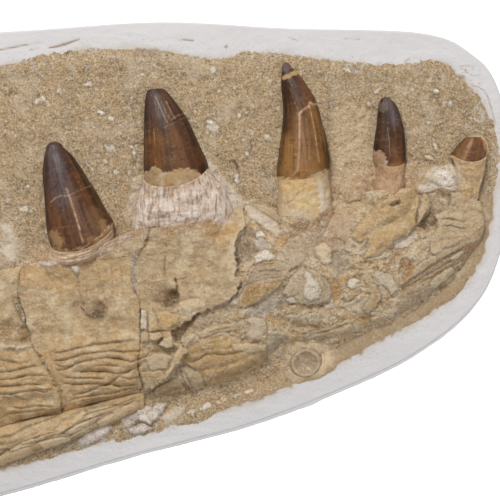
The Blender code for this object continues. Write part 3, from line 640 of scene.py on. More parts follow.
def lay_plates(x, y, level, z, tint, grit, plates):
    """Lays plates into a relief in turn, changing its height, tint and grit where each one lies.

    A plate's face stands its lift over the level, tilted about its middle, and turns down at its ragged edge.
    One with a soft edge keeps nearly half the relief that lies under it.
    """
    for k, (outline, lift, soft, colour, second, *rest) in enumerate(plates):
        to_right, up, folds = rest or (0, 0, ())
        outline = spot(outline)
        lift = lift * (1.3 if soft < 0.9 else 1.0)
        low, high = outline.min(0) - 1.5 - soft, outline.max(0) + 1.5 + soft
        near = (x > low[0]) & (x < high[0]) & (y > low[1]) & (y < high[1])
        if not near.any():
            continue
        px, py = x[near], y[near]
        inside, share = plate_share(px, py, outline, soft, 301 + k)
        cx, cy = outline.mean(0)
        face = level[near] + lift + to_right * (px - cx) + up * (py - cy)
        face += 0.30 * rough(px * 0.7, py, 6, 401 + k, 3) + 0.08 * rough(px, py, 1.8, 441 + k, 3)
        face += (0.4 if soft >= 0.9 else 0.15) * (z[near] - level[near])
        face -= 0.35 * np.exp(-np.clip(inside, 0, None) / 0.8)
        dark = np.zeros(px.shape)
        for fold in folds:
            change, shade = crease(px, py, *fold)
            face, dark = face + change, np.maximum(dark, 0.45 * shade)
        z[near] += share * (face - z[near])
        own = paint(
            srgb(colour) * 1.12,
            (0.8 * blotches(px * 0.6, py, 5, 481 + k, -0.1, 0.8, 4), second),
            (0.25 * blotches(px, py, 2.4, 521 + k), BED_DEEP),
            (0.35 * blotches(px, py, 1.6, 561 + k), BED_PALE),
            (0.45 * bell(inside / 0.5) * (soft < 0.9), BED_PALE),
            # Painted shade in the folds' furrows and on their lower flanks.
            (dark, PAINTED_SHADE_BROWN),
        )
        # Painted shade: a thin dark band on the bed round the foot of each raised plate.
        contact_shade = 0.5 * bell((inside + 0.45) / 0.4) * (inside < 0) * (soft < 0.9) * (lift > 0)
        tint[near] += contact_shade[:, None] * (BED_DEEP - tint[near])
        tint[near] += share[:, None] * (own - tint[near])
        grit[near] += share * ((0.45 if soft >= 0.9 else 0.2) - grit[near])


def lay_ridges(x, y, z, tint, ridges):
    """Adds ridges and grooves: a round swell across each line, its height and width wavering along it."""
    for k, (line, width, height, colour, strength) in enumerate(ridges):
        away, _, part = follow(x, y, spot(line))
        body = bell(away / (width * (1 + 0.5 * swell(x, y, 2.6, 601 + k))))
        body *= np.clip(10 * part * (1 - part) + 0.1, 0, 1) * (0.8 + 0.5 * swell(x, y, 3.4, 641 + k))
        z += height * body
        tint += (strength * np.clip(body, 0, 1))[..., None] * (srgb(colour) - tint)


def sandstone_finish():
    """Fine sand of tan, cream and brown grains, with pale shell crumbs and small dark gaps between them."""
    material, shader, place, tint = new_material("sandstone", 0.95)
    smooth = mark_of(place, "smooth")
    speck = place.node("SeparateColor", {"Color": place.grains(0.45)}, out=0)
    crumb = place.node("SeparateColor", {"Color": place.grains(0.9)}, out=0)
    cloud = place.noise(1.7, 6.0, 0.75)
    fine = place.noise(0.45, 4.0, 0.75)
    loose = 1 - smooth * 0.7
    dark, pale, tan = (0.13, 0.075, 0.033, 1), (0.78, 0.66, 0.50, 1), (0.52, 0.33, 0.15, 1)
    colour = tint.coats(
        (speck, 0.4, 0.0, 0.5, dark, loose),
        (speck, 0.74, 1.0, 0.65, pale, loose),
        (crumb, 0.93, 0.98, 0.65, pale, loose),
        (fine, 0.47, 0.33, 0.8, dark, loose),
        (place.noise(1.1, 5.0, 0.8), 0.42, 0.3, 0.65, dark, loose),
        (fine, 0.54, 0.7, 0.5, pale, loose),
        (cloud, 0.47, 0.3, 0.65, dark),
        (cloud, 0.54, 0.7, 0.35, tan),
        (place.noise(6.0, 3.0, 0.6), 0.53, 0.7, 0.3, pale),
    )
    relief = cloud * 1.2 + fine * 0.9 - place.grains(0.55, "Distance") * 0.3
    finish_with(shader, colour, None, relief * loose, 0.8)
    return material


def outline_branches(outline):
    """Lower and upper halves of a closed outline as two lines that run from left to right."""
    curve = np.roll(outline, -int(np.argmax(outline[:, 0])), 0)
    turn = int(np.argmin(curve[:, 0]))
    return curve[turn::-1], np.vstack([curve[turn:], curve[:1]])


def sandstone_block(name, columns, low_rows, high_rows):
    """A stretch of the stone as rings across it, one at each x.

    A ring runs from the lower edge to the upper one in three bands, close rows where the stone shows and wide
    ones under the bone, and closes underneath. Near the edge it eases to the level of the plaster's rim.
    """
    outline = curve(ROCK_OUTLINE, 1500, closed=True)
    wide = outline - ROCK_SPREAD * inwards(outline)
    low, high = outline_branches(wide)
    start = np.interp(columns, *low.T)
    end = np.interp(columns, *high.T)
    height = end - start
    bone_low = start + np.clip(margin(LOWER_MARGIN, columns) + 4 - start, 0.1 * height, 0.45 * height)
    bone_high = end - np.clip(end - margin(UPPER_MARGIN, columns) + 4, 0.3 * height, 0.54 * height)
    bands = [(start, bone_low, low_rows), (bone_low, bone_high, 9), (bone_high, end, high_rows)]
    rows = [a + (b - a) * t for a, b, n in bands for t in np.linspace(0, 1, n, endpoint=False)] + [end]
    y = np.array(rows).T
    x = np.broadcast_to(columns[:, None], y.shape)
    inside = sand_edge(x, y)
    relief = picked_sand(x, y) * (1 - 0.65 * step(8, 5, inside) * step(110, 170, x) * (y < 40))
    away = step(-0.5, 6.5, inside)
    z = away * (ground(x, y) + relief) + (1 - away) * (RIM_HEIGHT + 0.1 + 0.25 * inside + 0.45 * relief)
    buried = step(2.5, 5, y - margin(LOWER_MARGIN, x)) * step(2.5, 5, margin(UPPER_MARGIN, x) - y)
    z = z - 2.5 * buried * step(227, 222, x) * step(-207, -201, x)
    foot = np.column_stack([columns, end - 0.05 * height, np.full(len(columns), ROCK_BASE)])
    heel = np.column_stack([columns, start + 0.05 * height, np.full(len(columns), ROCK_BASE)])
    rings = np.concatenate([np.stack([x, y, z], -1), foot[:, None], heel[:, None]], 1)
    x, y = rings[..., 0], rings[..., 1]
    inside = np.concatenate([inside, np.full((len(columns), 2), 20.0)], 1)
    top = step(0, 60, y - margin(UPPER_MARGIN, x))
    smear = step(0.35, 0.75, swell(x, y, 3.5, 61) + 0.7 * swell(x, y, 15, 62)) * step(5, 1, inside)
    slope = step(6.6, 5.2, inside + 0.8 * rough(x, y, 9, 63, 3)) * step(110, 170, x) * (y < 40)
    tint = paint(
        SAND_BROWN,
        (0.55 * blotches(x, y, 18, 51, 0.0, 0.9), 0xC8AE88),
        (0.6 * blotches(x, y, 11, 53, 0.1, 0.9), 0xA89070),
        (0.5 * blotches(x, y, 7, 55, 0.25, 0.8, 2) * top, 0xCEB48E),
        (0.5 * blotches(x, y, 4, 57, 0.3, 0.8), 0xC49E6C),
        (0.5 * blotches(x, y, 5, 59, 0.3, 0.8), 0xB0A08A),
        (0.85 * slope, 0xA28B6C),
        (0.6 * smear * (1 - slope), 0xDCD4C8),
    )
    grit, level, height = np.zeros(x.shape), rings[..., 2].copy(), rings[..., 2].copy()
    lay_plates(x, y, level, height, tint, grit, [
        (chip_outline(*chip), 0.35, 0.28, CHIP_COLOURS[kind], CHIP_COLOURS[kind] * 0.86)
        for *chip, kind in SAND_CHIPS
    ])
    lay_plates(x, y, level, height, tint, grit, SAND_PATCHES)
    lay_ridges(x, y, height, tint, SAND_LINES)
    rings[:, :-2, 2] = height[:, :-2]
    smooth = np.clip(np.clip(grit * 2.4, 0, 0.5) + slope, 0, 1)
    make_piece(name, rings, sandstone, "phosphate_sandstone", ["rock_matrix"], tint=tint, smooth=smooth)


SAND_BROWN = srgb(0xC4A882)
sandstone = sandstone_finish()
sandstone_block("sandstone_rear", np.linspace(-230, 30.5, 326), 26, 104)
sandstone_block("sandstone_front", np.linspace(29.5, 238, 418), 40, 150)


# Lengths of the dentary, the bone that carries the teeth: one fossil bone, cracked right across in three
# places, so that it lies in four lengths. Its skin is sound behind the slanting break and crushed before it.
BONE_EDGE, BONE_CREST = 43.6, 56.5
BONE_SIDE, BONE_UNDERSIDE = 41.0, 28.0  # where its sides start below the face, and where they end
BACK_TEETH = 7
BACK_TEETH_START = 21.0
BACK_TEETH_PITCH = (38.5, 31.5)
BACK_CROWN_WIDTH = (25.6, 18.0)
FRACTURE_REAR = path("-75,-120 -73.4,-72 -77,-46 -70.4,-18 -74,5 -70,40")
FRACTURE_MIDDLE = path(
    "61,-100 61.4,-41.6 60.2,-36.8 57.8,-32.4 55.8,-27 51.4,-22.4 49.4,-17.4 47.8,-10.8 46.2,-5.4 "
    "44.4,-0.8 44.6,7.6 45.2,14 43,30"
)
FRACTURE_FRONT = path(
    "91.6,-100 92,-44 93.2,-37.6 92.4,-27.8 93.4,-18.6 93.2,-13.2 93.6,-5.6 92,-0.8 90.6,5.6 91.2,13.2 "
    "95.4,20 98,30"
)


def ragged(line, seed):
    """A crack line brought to closely spaced points that swells of a few millimetres shift along the jaw."""
    fine = curve(line, 120)
    fine[:, 0] += 0.45 * rough(fine[:, 1], 0 * fine[:, 1], 3.6, seed, 3, 0.6)
    return fine


FRACTURE_REAR, FRACTURE_MIDDLE, FRACTURE_FRONT = (
    ragged(line, seed) for line, seed in ((FRACTURE_REAR, 5), (FRACTURE_MIDDLE, 6), (FRACTURE_FRONT, 7))
)
FRACTURES = (  # with their half widths below and above
    (FRACTURE_REAR, 0.3, 0.3), (FRACTURE_MIDDLE, 0.3, 0.3), (FRACTURE_FRONT, 0.2, 0.75),
)
JAW_REAR_END = path("-211,-100 -213,-40 -212,-20 -209,20")
BREAK_END = path("142,-100 142,100")  # the whole skin stops before here, and the crushed stretch goes on
JAW_FRONT_END = path("222,-10 229,14 231.5,27 230,40 226,60")
CRUSHED_OUTLINE = spot(
    "246,150 244,214 246,227 238,236 235,245 237,262 235.5,275 242,283 235,294 221,306 209,308 196.5,314.4 "
    "181,324.6 171,328.4 176,340 189,347.6 180,361.6 168.5,375.6 155.7,387 146,392 140,470 520,470 520,150"
)
CRUSHED_DEPTH = 2.1
WRINKLE_PITCH = 3.4
CREASES = [  # each a dark furrow with a fold swelling above it: depth, height of the fold, its width
    # Each furrow is darkened with painted shade.
    ("49,352 64,351 80,347 95,344 115,341.6 130,340 141,339", 0.75, 0.75, 1.5),
    ("50.5,360 69,358 85,353 100,351 115,349.6 126,351 138,349.6 151.5,348", 0.7, 0.7, 1.3),
    ("55,370 69,367 82.7,360.6 97.6,357.7 110,356 121.7,357.7 133,360.6 147,354.8 158,349", 0.95, 0.9, 1.5),
    ("73.5,369.7 92,370.3 106.8,370.3 118,372.6 127.4,371 137.8,365 148,358", 0.85, 1.0, 2.0),
    ("67.7,383 82.7,383 97.6,382.4 106.8,384 114.8,379.5 126,371", 0.9, 0.9, 1.7),
    ("72.3,395 87,391.6 101,385 110,383 121.7,385.8 135.5,383.5 142,382.4", 0.9, 0.9, 1.6),
    ("69,400.7 80,397 97.6,394.4 114.8,392 131,388 141,387", 0.8, 0.8, 1.5),
    ("72.7,417 89,406.8 108,404 122,405.5 139,401.7", 1.0, 0.9, 2.4),
    ("0,357.7 11.5,360 23,361.7 38,360", 0.55, 0.7, 1.8),
    ("0,371 15,369.7 30,366 42,364", 0.75, 0.9, 1.7),
    ("0,377.8 17,377 28.7,373.8 46,373.8 53,375.5", 0.65, 0.7, 1.3),
    ("0,385 17,384 34.4,383 48,382.4", 0.7, 0.8, 1.4),
    ("0,392.7 15,392 23,390.4 38,388 46,390.4 57.4,388", 0.75, 0.8, 1.4),
    ("3.8,392 14,392 25.5,398 33,399", 0.4, 0.3, 1.0),
    ("7.7,429.7 16.6,423.4 30.6,419.5 47,414.4 61,410 69,404", 1.0, 0.9, 2.2),
    ("79,401 96,398 112,397", 0.4, 0.4, 1.0),
    ("12,406 24,407.5 40,405 58,406", 0.5, 0.5, 1.2),
    ("4,414 18,412 34,411 50,408", 0.4, 0.4, 1.4),
    ("36,385 46,388 56,387", 0.4, 0.5, 1.2),
    ("70,410 84,403 100,399 118,397 136,392", 0.6, 0.7, 1.6),
    ("52,358 62,364 70,366", 0.4, 0.4, 1.0),
    ("96,364 110,364 124,365.5", 0.4, 0.5, 1.3),
    ("66,376 80,377 94,376.5 108,378", 0.5, 0.6, 1.4),
    ("118,375 130,378 141,376", 0.4, 0.5, 1.2),
    ("84,388 98,388 112,388.5", 0.3, 0.4, 1.0),
    ("150,328 163,330 176,327", 0.3, 0.2, 1.0),
    ("176,352 166,356 150,352 143,352", 0.4, 0.3, 1.0),
]
CRACKS = [  # pixels, depth, half width in millimetres, how dark
    # How dark gives the strength of the painted shade laid in the crack.
    ("78,267 80,279 82,293 86,306", 0.6, 0.42, 0.6),
    ("167,250 166,266 167,277", 0.8, 0.28, 0.8),
    ("175,250 177,258 175.5,266", 0.5, 0.2, 0.6),
    ("176,278 178.5,284 178,292 176,297", 1.8, 0.42, 1.0),
    ("148,255.5 157,255 165,253", 0.5, 0.2, 0.6),
    ("150,284 158,282 167,280 177,280 190,277", 0.35, 0.2, 0.5),
    ("23,279 31,279 41,285 53,290.5", 0.3, 0.16, 0.6),
    ("23,286 35,288 48,289.5 60,292 76,289", 0.15, 0.16, 0.4),
    ("88,268 89,300 88,330 88,352 90,372 91,390", 0.18, 0.14, 0.35),
    ("95,258.5 107,259.5 118,258.5 129,256.5 138,254.5", 0.4, 0.18, 0.6),
    ("113,262 113,275 112,288 112,300", 0.15, 0.14, 0.35),
    ("139,362 141,375 143,390 141,400", 0.6, 0.3, 0.5),
    ("62,268 59,280 52,290", 0.12, 0.14, 0.3),
    ("127,309 137,319", 0.25, 0.16, 0.3),
    ("142,339 146,341 152,343 160,345", 0.5, 0.25, 0.5),
    ("192,337 184,341 176,352", 0.3, 0.2, 0.4),
    ("150,309 150.5,322 149,335", 0.6, 0.22, 0.6),
    ("142.5,307 142,322 142,338", 0.6, 0.25, 0.7),
    ("143,330 152,331 163,329 176,331", 0.6, 0.25, 0.5),
    ("163,331 162,340 168,346", 0.5, 0.22, 0.5),
    ("158,341 150,350 152,356", 0.4, 0.22, 0.4),
    ("173,354 168,366 158,374 146,377", 0.6, 0.25, 0.5),
    ("170,222 169,236 167,250", 0.3, 0.7, 0.35),
    ("197,216 207,224 222,228 236,232", 0.25, 0.2, 0.3),
    ("205,246 214,252 226,250", 0.2, 0.16, 0.3),
    ("40,300 52,306 66,304 80,308", 0.15, 0.14, 0.3),
    ("26,262 30,280 28,296", 0.2, 0.14, 0.35),
    ("100,270 106,283 103,297", 0.15, 0.12, 0.3),
    ("196,268 204,280 206,296", 0.2, 0.14, 0.35),
]
PITS = [  # pixel of the nerve opening's middle, half lengths behind, ahead and across in millimetres, depth
    ((101, 311), 8.6, 3.0, 3.8, 2.9), ((172, 298), 10.0, 3.0, 3.6, 2.9), ((24, 333), 13.0, 3.6, 3.6, 3.0),
]
BACK_PITS = [(-4, -23, 5.4, 2.6), (-46, -27, 5.0, 2.4), (-108, -30, 5.6, 2.6), (-158, -31, 4.8, 2.2)]
BONE_TAN = srgb(0xBDA17A)
BONE_CREAM, BONE_OCHRE, BONE_GREY = srgb(0xD7C19C), srgb(0xC2995F), srgb(0xAC9678)
# The last colour here is painted shade, laid in the splenial's splits.
BONE_PINK, BONE_RUST, BONE_PAINTED_SHADE = srgb(0xCCAB8E), srgb(0xA6703A), srgb(0x684F34)
SOCKET_BAND = "22,263 40,260 60,259 78,257 92,252 104,246 114,239 126,234 140,230"
OCHRE_ZONE = "24,266 60,262 100,256 127,260 124,269 112,281 88,289 55,291 24,286"
BONE_CHIPS = [  # small plates on the skin, written like those of the crushed front
    # This plate and the next are painted shade: the dark insides of two nerve openings.
    ("84,306 92,309 99,307 104,307.5 107,310 107,314.5 103,318 95,318.5 88,314", -1.9, 0.9, 0x6A5032,
     0x7C6040, -0.1, 0.1, []),
    ("155,299 164,297 170,294 174,290 178,289 179,294 178.6,300 175,304 166,305.5 158,303", -1.9, 0.9,
     0x664C2E, 0x785C3C, -0.1, 0.1, []),
    # Painted shade: the brown inside of the third nerve opening's hollow.
    ("-6,327 14,325 28,328 34,335 24,341 8,339 -6,337", -1.8, 1.2, 0x9E7E56, 0xB0926A),
    ("-4,342 12,342 26,344 34,341 36,345 22,349 -4,346", 0.3, 1.0, 0xD8C4A2, BONE_CREAM),
    # Painted shade: the dark gap between the small blocks.
    ("150,340 162,337 176,345 182,350 170,353 152,352 144,346", -0.9, 0.6, 0x967A56, 0xAA8E6A),
    ("143.4,309 148,308 149,318 148,328 142.6,327", 0.8, 0.2, 0xDCCEB8, BONE_CREAM),
    ("150.5,309 156,311 157.5,320 163,328 151,330", 0.6, 0.2, 0xCEB288, BONE_OCHRE, 0.02, 0, []),
    ("143,331 149.5,331 150,340 143,340", 0.5, 0.2, 0xCCAC7C, BONE_OCHRE),
    ("151.4,331.5 163,331 163,335 158,339 152,338", 0.9, 0.2, 0xD6B88A, BONE_CREAM),
    ("160,343 166,337 173,336 175,345 168,347", 1.1, 0.25, 0xD0BC9E, BONE_TAN),
    ("158,311 168,310 180,314 176,324 168,329 161,323", 0.3, 0.6, 0xCEA870, 0xBC884C),
    ("180,302 192,298 206,299 204,306 190,312 180,312", 0.4, 0.7, 0xD6BC92, BONE_CREAM),
    # Painted shadow under the overhanging lower edge of the whole bone.
    ("168,329 180,322 196,313 210,305 224,303 226,306 210,309 196,318 180,328", -0.4, 0.5, 0x9E7848,
     0xB09268),
    ("176,352 184,340 193,334 200,327 203,331 194,341 188,353 180,366 168,378 152,390 150,387 164,374 "
     "172,364", 0.9, 0.4, 0xDAC29C, BONE_OCHRE),
    ("74,266 80,264 82,270 79,275 76,271", 0.0, 0.9, 0xE2D8CA, BONE_CREAM),
    ("38,262 50,263 60,262 60,266 44,267 38,265", 0.0, 1.0, 0xE2D6CA, BONE_PINK),
    ("148,356 160,351 173,355 167,367 152,369", 0.35, 0.35, 0xCCB491, BONE_CREAM),
    ("143,371 160,370 166,374 156,386 145,390", 0.2, 0.4, 0xC6AC86, BONE_OCHRE),
    # Painted shadow under the lower edge of the second root.
    ("150,212 166,214 180,219 200,216 206,213 200,221 180,225 152,224", -1.3, 0.4, PAINTED_SHADE_BROWN, 0x967E64),
    ("205,214 222,212 232,211 230,216 208,219", -0.3, 0.4, 0xE2D6C6, BONE_GREY),
    ("62,345 56,352 60,372 66,390 70,400 62,400 56,380 48,364 42,352", -0.5, 0.5, 0xBE965E, 0xA8804E),
]


def back_teeth():
    """Place along the jaw and width of each back tooth: pitch and width shrink evenly towards the rear."""
    x, teeth = BACK_TEETH_START, []
    for k in range(BACK_TEETH):
        t = k / (BACK_TEETH - 1)
        teeth.append((x, BACK_CROWN_WIDTH[0] + t * (BACK_CROWN_WIDTH[1] - BACK_CROWN_WIDTH[0])))
        x -= BACK_TEETH_PITCH[0] + t * (BACK_TEETH_PITCH[1] - BACK_TEETH_PITCH[0])
    return teeth


SOCKETS = [(69.6, 30.0), (106.8, 39.0), (157.6, 24.0), (191.8, 22.0), (217.0, 13.0)] + back_teeth()


def sound_bone(x, y):
    """Height of whole bone: an arch between its margins, kept high up to the rim wherever a tooth stands."""
    low, high = margin(LOWER_MARGIN, x), margin(UPPER_MARGIN, x)
    share = np.clip((y - low) / (high - low), 0, 1)
    arch = (1 - np.abs(2 * share - 1) ** 2.6) ** 0.7
    socket = sum(np.exp(-(((x - middle) / (0.56 * width)) ** 4)) for middle, width in SOCKETS)
    wall = 0.93 * socket * step(0, 1.6, high - y) * step(0.45, 0.75, share)
    rise = (BONE_CREST - BONE_EDGE) * np.clip((x + 216) / 26, 0.25, 1) * np.clip((250 - x) / 60, 0.35, 1)
    return BONE_EDGE + rise * np.maximum(arch, wall)


def crease(x, y, line, depth, fold, width):
    """Height and painted shade of a crease: a thin furrow between a full roll above it and a lower one below.
    """
    away, side, share = follow(x, y, spot(line))
    away = np.abs(away + 0.14 * rough(x, y, 2.4, 73, 3))
    ends = np.clip(9 * share * (1 - share), 0, 1) * (0.85 + 0.4 * swell(x, y, 6, 71))
    above = np.clip(away * side, 0, None) / width
    below = np.clip(-away * side, 0, None) / width
    roll = 1.5 * (1 - np.exp(-1.9 * above)) * np.exp(-0.45 * above**2)
    roll = roll + 0.9 * below * np.exp(1 - below - 0.3 * below**2)
    soft = 0.24 + 0.12 * swell(x, y, 3, 72)
    furrow = bell(away / soft) * np.clip(0.7 + 0.8 * swell(x, y, 2.2, 74), 0.1, 1)
    # The painted shade lies in the furrow and on the roll's lower flank, which faces away from the lamp.
    flank = bell((above - 0.3) / 0.45) * (above > 0) + bell(away / 0.5) * (above <= 0)
    return ends * (1.7 * fold * (roll - 0.25) - 0.25 * depth * furrow), ends * (0.35 * furrow + 0.6 * flank)


def back_folds(x, y):
    """Wrinkles behind the photograph's edge: waves along the lower part that bend with a slow swell."""
    over = y - margin(LOWER_MARGIN, x)
    share = over / (margin(UPPER_MARGIN, x) - margin(LOWER_MARGIN, x))
    phase = over / WRINKLE_PITCH + 1.1 * swell(x, y * 2, 30, 91) + 0.35 * swell(x, y * 3, 11, 92)
    wave = phase - np.floor(phase)
    where = step(0.5, 0.3, share + 0.12 * swell(x, y, 40, 93)) * step(0.02, 0.08, share) * step(38, 33, x)
    where = where * np.clip(0.55 + 0.9 * swell(x, y * 2, 26, 94), 0, 1)
    furrow = bell(np.minimum(wave, 1 - wave) * WRINKLE_PITCH / 0.32)
    # The second value is painted shade in the furrows.
    return where * (0.9 * np.sin(math.pi * wave) - 0.7 * furrow), where * furrow


def crushed_bed(x, y):
    """Mean level of the crushed stretch: a slope up from the stone at its lower edge, under whole bone."""
    upper, lower = margin(UPPER_MARGIN, x), margin(LOWER_MARGIN, x)
    share = np.clip((y - lower) / (upper - lower), 0, 1)
    sunk = sound_bone(x, y) - CRUSHED_DEPTH * (0.6 + 0.4 * step(0.95, 0.6, share))
    slope = 46.0 + 8.6 * np.clip((250 - x) / 60, 0.35, 1) * np.sin(0.5 * math.pi * np.clip(share / 0.6, 0, 1))
    return np.maximum(np.minimum(sunk, slope), ground(x, y) + 0.7)


def bone_skin(x, y):
    """Height, tint and crushed mark over the bone: the whole face, and its drop at the broken edge."""
    whole = sound_bone(x, y)
    upper, lower = margin(UPPER_MARGIN, x), margin(LOWER_MARGIN, x)
    share = (y - lower) / (upper - lower)
    z = whole + 0.6 * rough(x * 0.7, y, 17, 101, 3) + 0.42 * rough(x, y, 5.5, 104, 5, 0.65)
    dark = np.zeros(x.shape)
    for line, depth, fold, width in CREASES:
        change, shade = crease(x, y, line, depth, fold, width)
        z, dark = z + change, np.maximum(dark, 0.42 * shade)
    change, shade = back_folds(x, y)
    z, dark = z + change, np.maximum(dark, 0.4 * shade)
    for line, depth, width, shade in CRACKS:
        away, _, part = follow(x, y, spot(line))
        open_share = np.clip(12 * part * (1 - part) + 0.25, 0, 1) * (0.75 + 0.5 * swell(x, y, 2.5, 111))
        cut = bell((away + 0.12 * swell(x, y, 1.6, 112)) / width) * open_share
        z, dark = z - depth * cut, np.maximum(dark, shade * cut)
    sandy = np.zeros(x.shape)
    for line, low_wide, high_wide in FRACTURES:
        off = x - np.interp(y, line[:, 1], line[:, 0])
        away = np.abs(off) / np.hypot(1, np.interp(y, line[:, 1], np.gradient(line[:, 0], line[:, 1])))
        wide = low_wide + (high_wide - low_wide) * step(-2, 8, y)
        narrow = wide * (0.45 + 0.9 * np.clip(swell(0 * x, y, 5, 113) + 0.35, 0, 1))
        chipped = blotches(x, y, 2.6, 115, 0.1, 0.5) * bell(away / 1.1)
        cut = bell(away / narrow)
        z -= 0.6 * cut + 0.4 * chipped
        dark, sandy = np.maximum(dark, 0.32 * cut), np.maximum(sandy, np.maximum(chipped, cut))
    hollow = np.zeros(x.shape)
    for (px, py), behind, ahead, across, depth in PITS:
        (cx, cy), = spot([(px, py)])
        dx = (x - cx) / np.where(x < cx, behind, ahead)
        r = np.hypot(dx, (y - cy + 0.12 * (x - cx)) / across)
        bowl = np.exp(-(r ** np.where(x < cx, 2.2, 5.5)))
        z, hollow = z - depth * bowl, np.maximum(hollow, bowl * step(-1.7, 0.1, dx))
    for cx, cy, half, depth in BACK_PITS:
        r = np.hypot((x - cx) / half, (y - cy) / (0.5 * half))
        bowl = np.exp(-(r**3))
        z, hollow = z - depth * bowl, np.maximum(hollow, bowl)
    away, side, part = follow(x, y, spot(SOCKET_BAND))
    band = np.exp(-((away / 2.7) ** 4)) * np.clip(12 * part, 0, 1) * np.clip(12 * (1 - part), 0, 1)
    fibres = swell(part * 16, side * away / 0.6, 1, 147) + 0.7 * swell(part * 30, side * away / 0.33, 1, 148)
    z += band * (0.35 + 0.22 * fibres)
    away, _, _ = follow(x, y, CRUSHED_OUTLINE, closed=True)
    signed = np.where(within(x, y, CRUSHED_OUTLINE), away, -away) + 0.8 * rough(x, y, 3.0, 121, 4, 0.65)
    crushed = step(-0.15, 0.45, signed)
    near = bell(np.clip(-signed, 0, None) / 1.3) * (1 - crushed)
    mound = sum(np.exp(-(((x - middle) / (0.55 * width)) ** 4)) for middle, width in SOCKETS)
    rim = step(0.88, 0.97, share + 0.05 * rough(x, y, 5, 145, 3)) * np.clip(mound, 0, 1)
    ochre = rough(x * 0.6, y, 15, 134, 3) - 0.15 + 0.5 * step(0.75, 0.95, share)
    tint = paint(
        BONE_TAN,
        (0.6 * blotches(x * 0.6, y, 22, 131, 0.1, 0.9), BONE_GREY),
        (0.8 * step(0.0, 0.9, ochre), BONE_OCHRE),
        (0.65 * step(0.6, 0.3, share + 0.1 * rough(x, y, 12, 136, 2)), 0xD0AB76),
        (0.85 * blotches(x, y, 9, 137, 0.0, 0.8, 4), BONE_CREAM),
        (0.36 * blotches(x, y, 3.2, 139), 0xA28056),
        (0.55 * blotches(x * 0.5, y, 2.6, 141), BONE_CREAM),
        (0.55 * rim, BONE_PINK),
        (0.85 * band, BONE_PINK),
        (0.8 * band * step(0.05, 0.5, fibres), 0xE4D3C2),
        (0.6 * band * step(-0.15, -0.6, fibres), 0xAC8664),
        (0.6 * plate_share(x, y, spot(OCHRE_ZONE), 0.5, 149)[1], 0xC09E6E),
        # Pits darkened, most on their deep side: brown sand in them, and painted shade.
        (0.8 * hollow, 0x785B3A),
        (0.6 * near, 0xDAC6A6),
        (0.6 * sandy, 0xA48966),
        (0.5 * step(0.45, 0.95, swell(x, y, 4, 143) + 0.7 * sandy + 0.5 * dark), BONE_RUST * 1.2),
        # Painted shade in the creases, wrinkles, cracks and fractures.
        (dark, 0x7A5A36),
    )
    grit = np.clip(0.08 + 0.7 * sandy + 0.5 * rim + crushed, 0, 1)
    lay_plates(x, y, whole, z, tint, grit, BONE_CHIPS)
    return z - 5.0 * crushed + 0.35 * near * (1 + swell(x, y, 3, 122)), tint, grit * (1 - 0.9 * hollow)


def bone_finish():
    """Fossil bone: tan, mottled brown and cream, with a faint grain, pores and crumbs of sand."""
    material, shader, place, tint = new_material("fossil_bone", 0.75)
    crushed = mark_of(place, "crushed")
    grain = place.noise(0.8, 5.0, 0.7, (0.5, 1, 1))
    mottle = place.noise(3.0, 7.0, 0.75)
    fine = place.noise(0.42, 4.0, 0.75)
    pores = place.grains(0.8, "Distance").between(0.26, 0.12) * place.noise(5.0).between(0.5, 0.64)
    speck = place.node("SeparateColor", {"Color": place.grains(0.5)}, out=0)
    dark, pale, ochre = (0.20, 0.12, 0.055, 1), (0.84, 0.72, 0.54, 1), (0.52, 0.32, 0.12, 1)
    cream = (0.88, 0.79, 0.65, 1)
    colour = tint.coats(
        (mottle, 0.47, 0.3, 0.36, dark),
        (mottle, 0.53, 0.7, 0.55, pale),
        (place.noise(6.0, 6.0, 0.8), 0.5, 0.68, 0.5, ochre),
        (grain, 0.46, 0.28, 0.5, dark),
        (grain, 0.54, 0.72, 0.5, pale),
        (fine, 0.56, 0.7, 0.6, dark),
    )
    crumbs = place.noise(1.5, 6.0, 0.8)
    colour = colour.mix(pores * 0.65, dark).coats(
        (speck, 0.4, 0.0, crushed * 0.35 + 0.1, dark),
        (speck, 0.72, 1.0, crushed * 0.6 + 0.1, pale),
        (crumbs, 0.52, 0.62, 0.7, cream, crushed),
        (crumbs, 0.42, 0.32, 0.3, dark, crushed),
    )
    relief = grain * 0.6 + fine * 0.3 + mottle * 1.5 - pores * 0.6 + crumbs * crushed * 1.7
    finish_with(shader, colour, None, relief, 0.8)
    return material


def between(behind, ahead, u, t, wavering, below=0, above=0):
    """Places a share u of the way between two lines across the jaw, and a share t from margin to margin.

    Each needs the other, so four rounds bring them together. The margins waver, by a height and a length, and
    are widened below and above.
    """
    y = np.zeros(np.broadcast_shapes(u.shape, t.shape))
    for _ in range(4):
        rear, front = (np.interp(y, line[:, 1], line[:, 0]) for line in (behind, ahead))
        x = rear + (front - rear) * u
        wobble = wavering[0] * rough(x, 0 * x, wavering[1], 151, 3)
        low, high = margin(LOWER_MARGIN, x) - below + wobble, margin(UPPER_MARGIN, x) + above + wobble
        y = low + (high - low) * t
    return x, y


def bone_piece(name, x, y, z, tint, crushed, node, lip=0.4, foot=7.0, underside=BONE_UNDERSIDE, buried=0.0):
    """Closes the rings of a bone's face down both sides and across a plain underside, and makes the piece.

    The sides start outwards by the lip, at BONE_SIDE, and end inwards by the foot.
    """
    face = np.stack([x, y, z], -1)
    rings = [face]
    down, back = [(-1, lip, BONE_SIDE), (-1, -foot, underside)], [(0, foot, underside), (0, -lip, BONE_SIDE)]
    for k, moved, height in down + back:
        side = face[:, [k]]
        side[..., 1] += moved
        side[..., 2] = height
        rings.append(side)
    tint = np.concatenate([tint, np.broadcast_to(BONE_TAN, (len(face), 4, 3))], 1)
    crushed = np.concatenate([crushed, np.full((len(face), 4), buried)], 1)
    make_piece(name, np.concatenate(rings, 1), fossil_bone, "fossil_bone", [node], tint=tint, crushed=crushed)


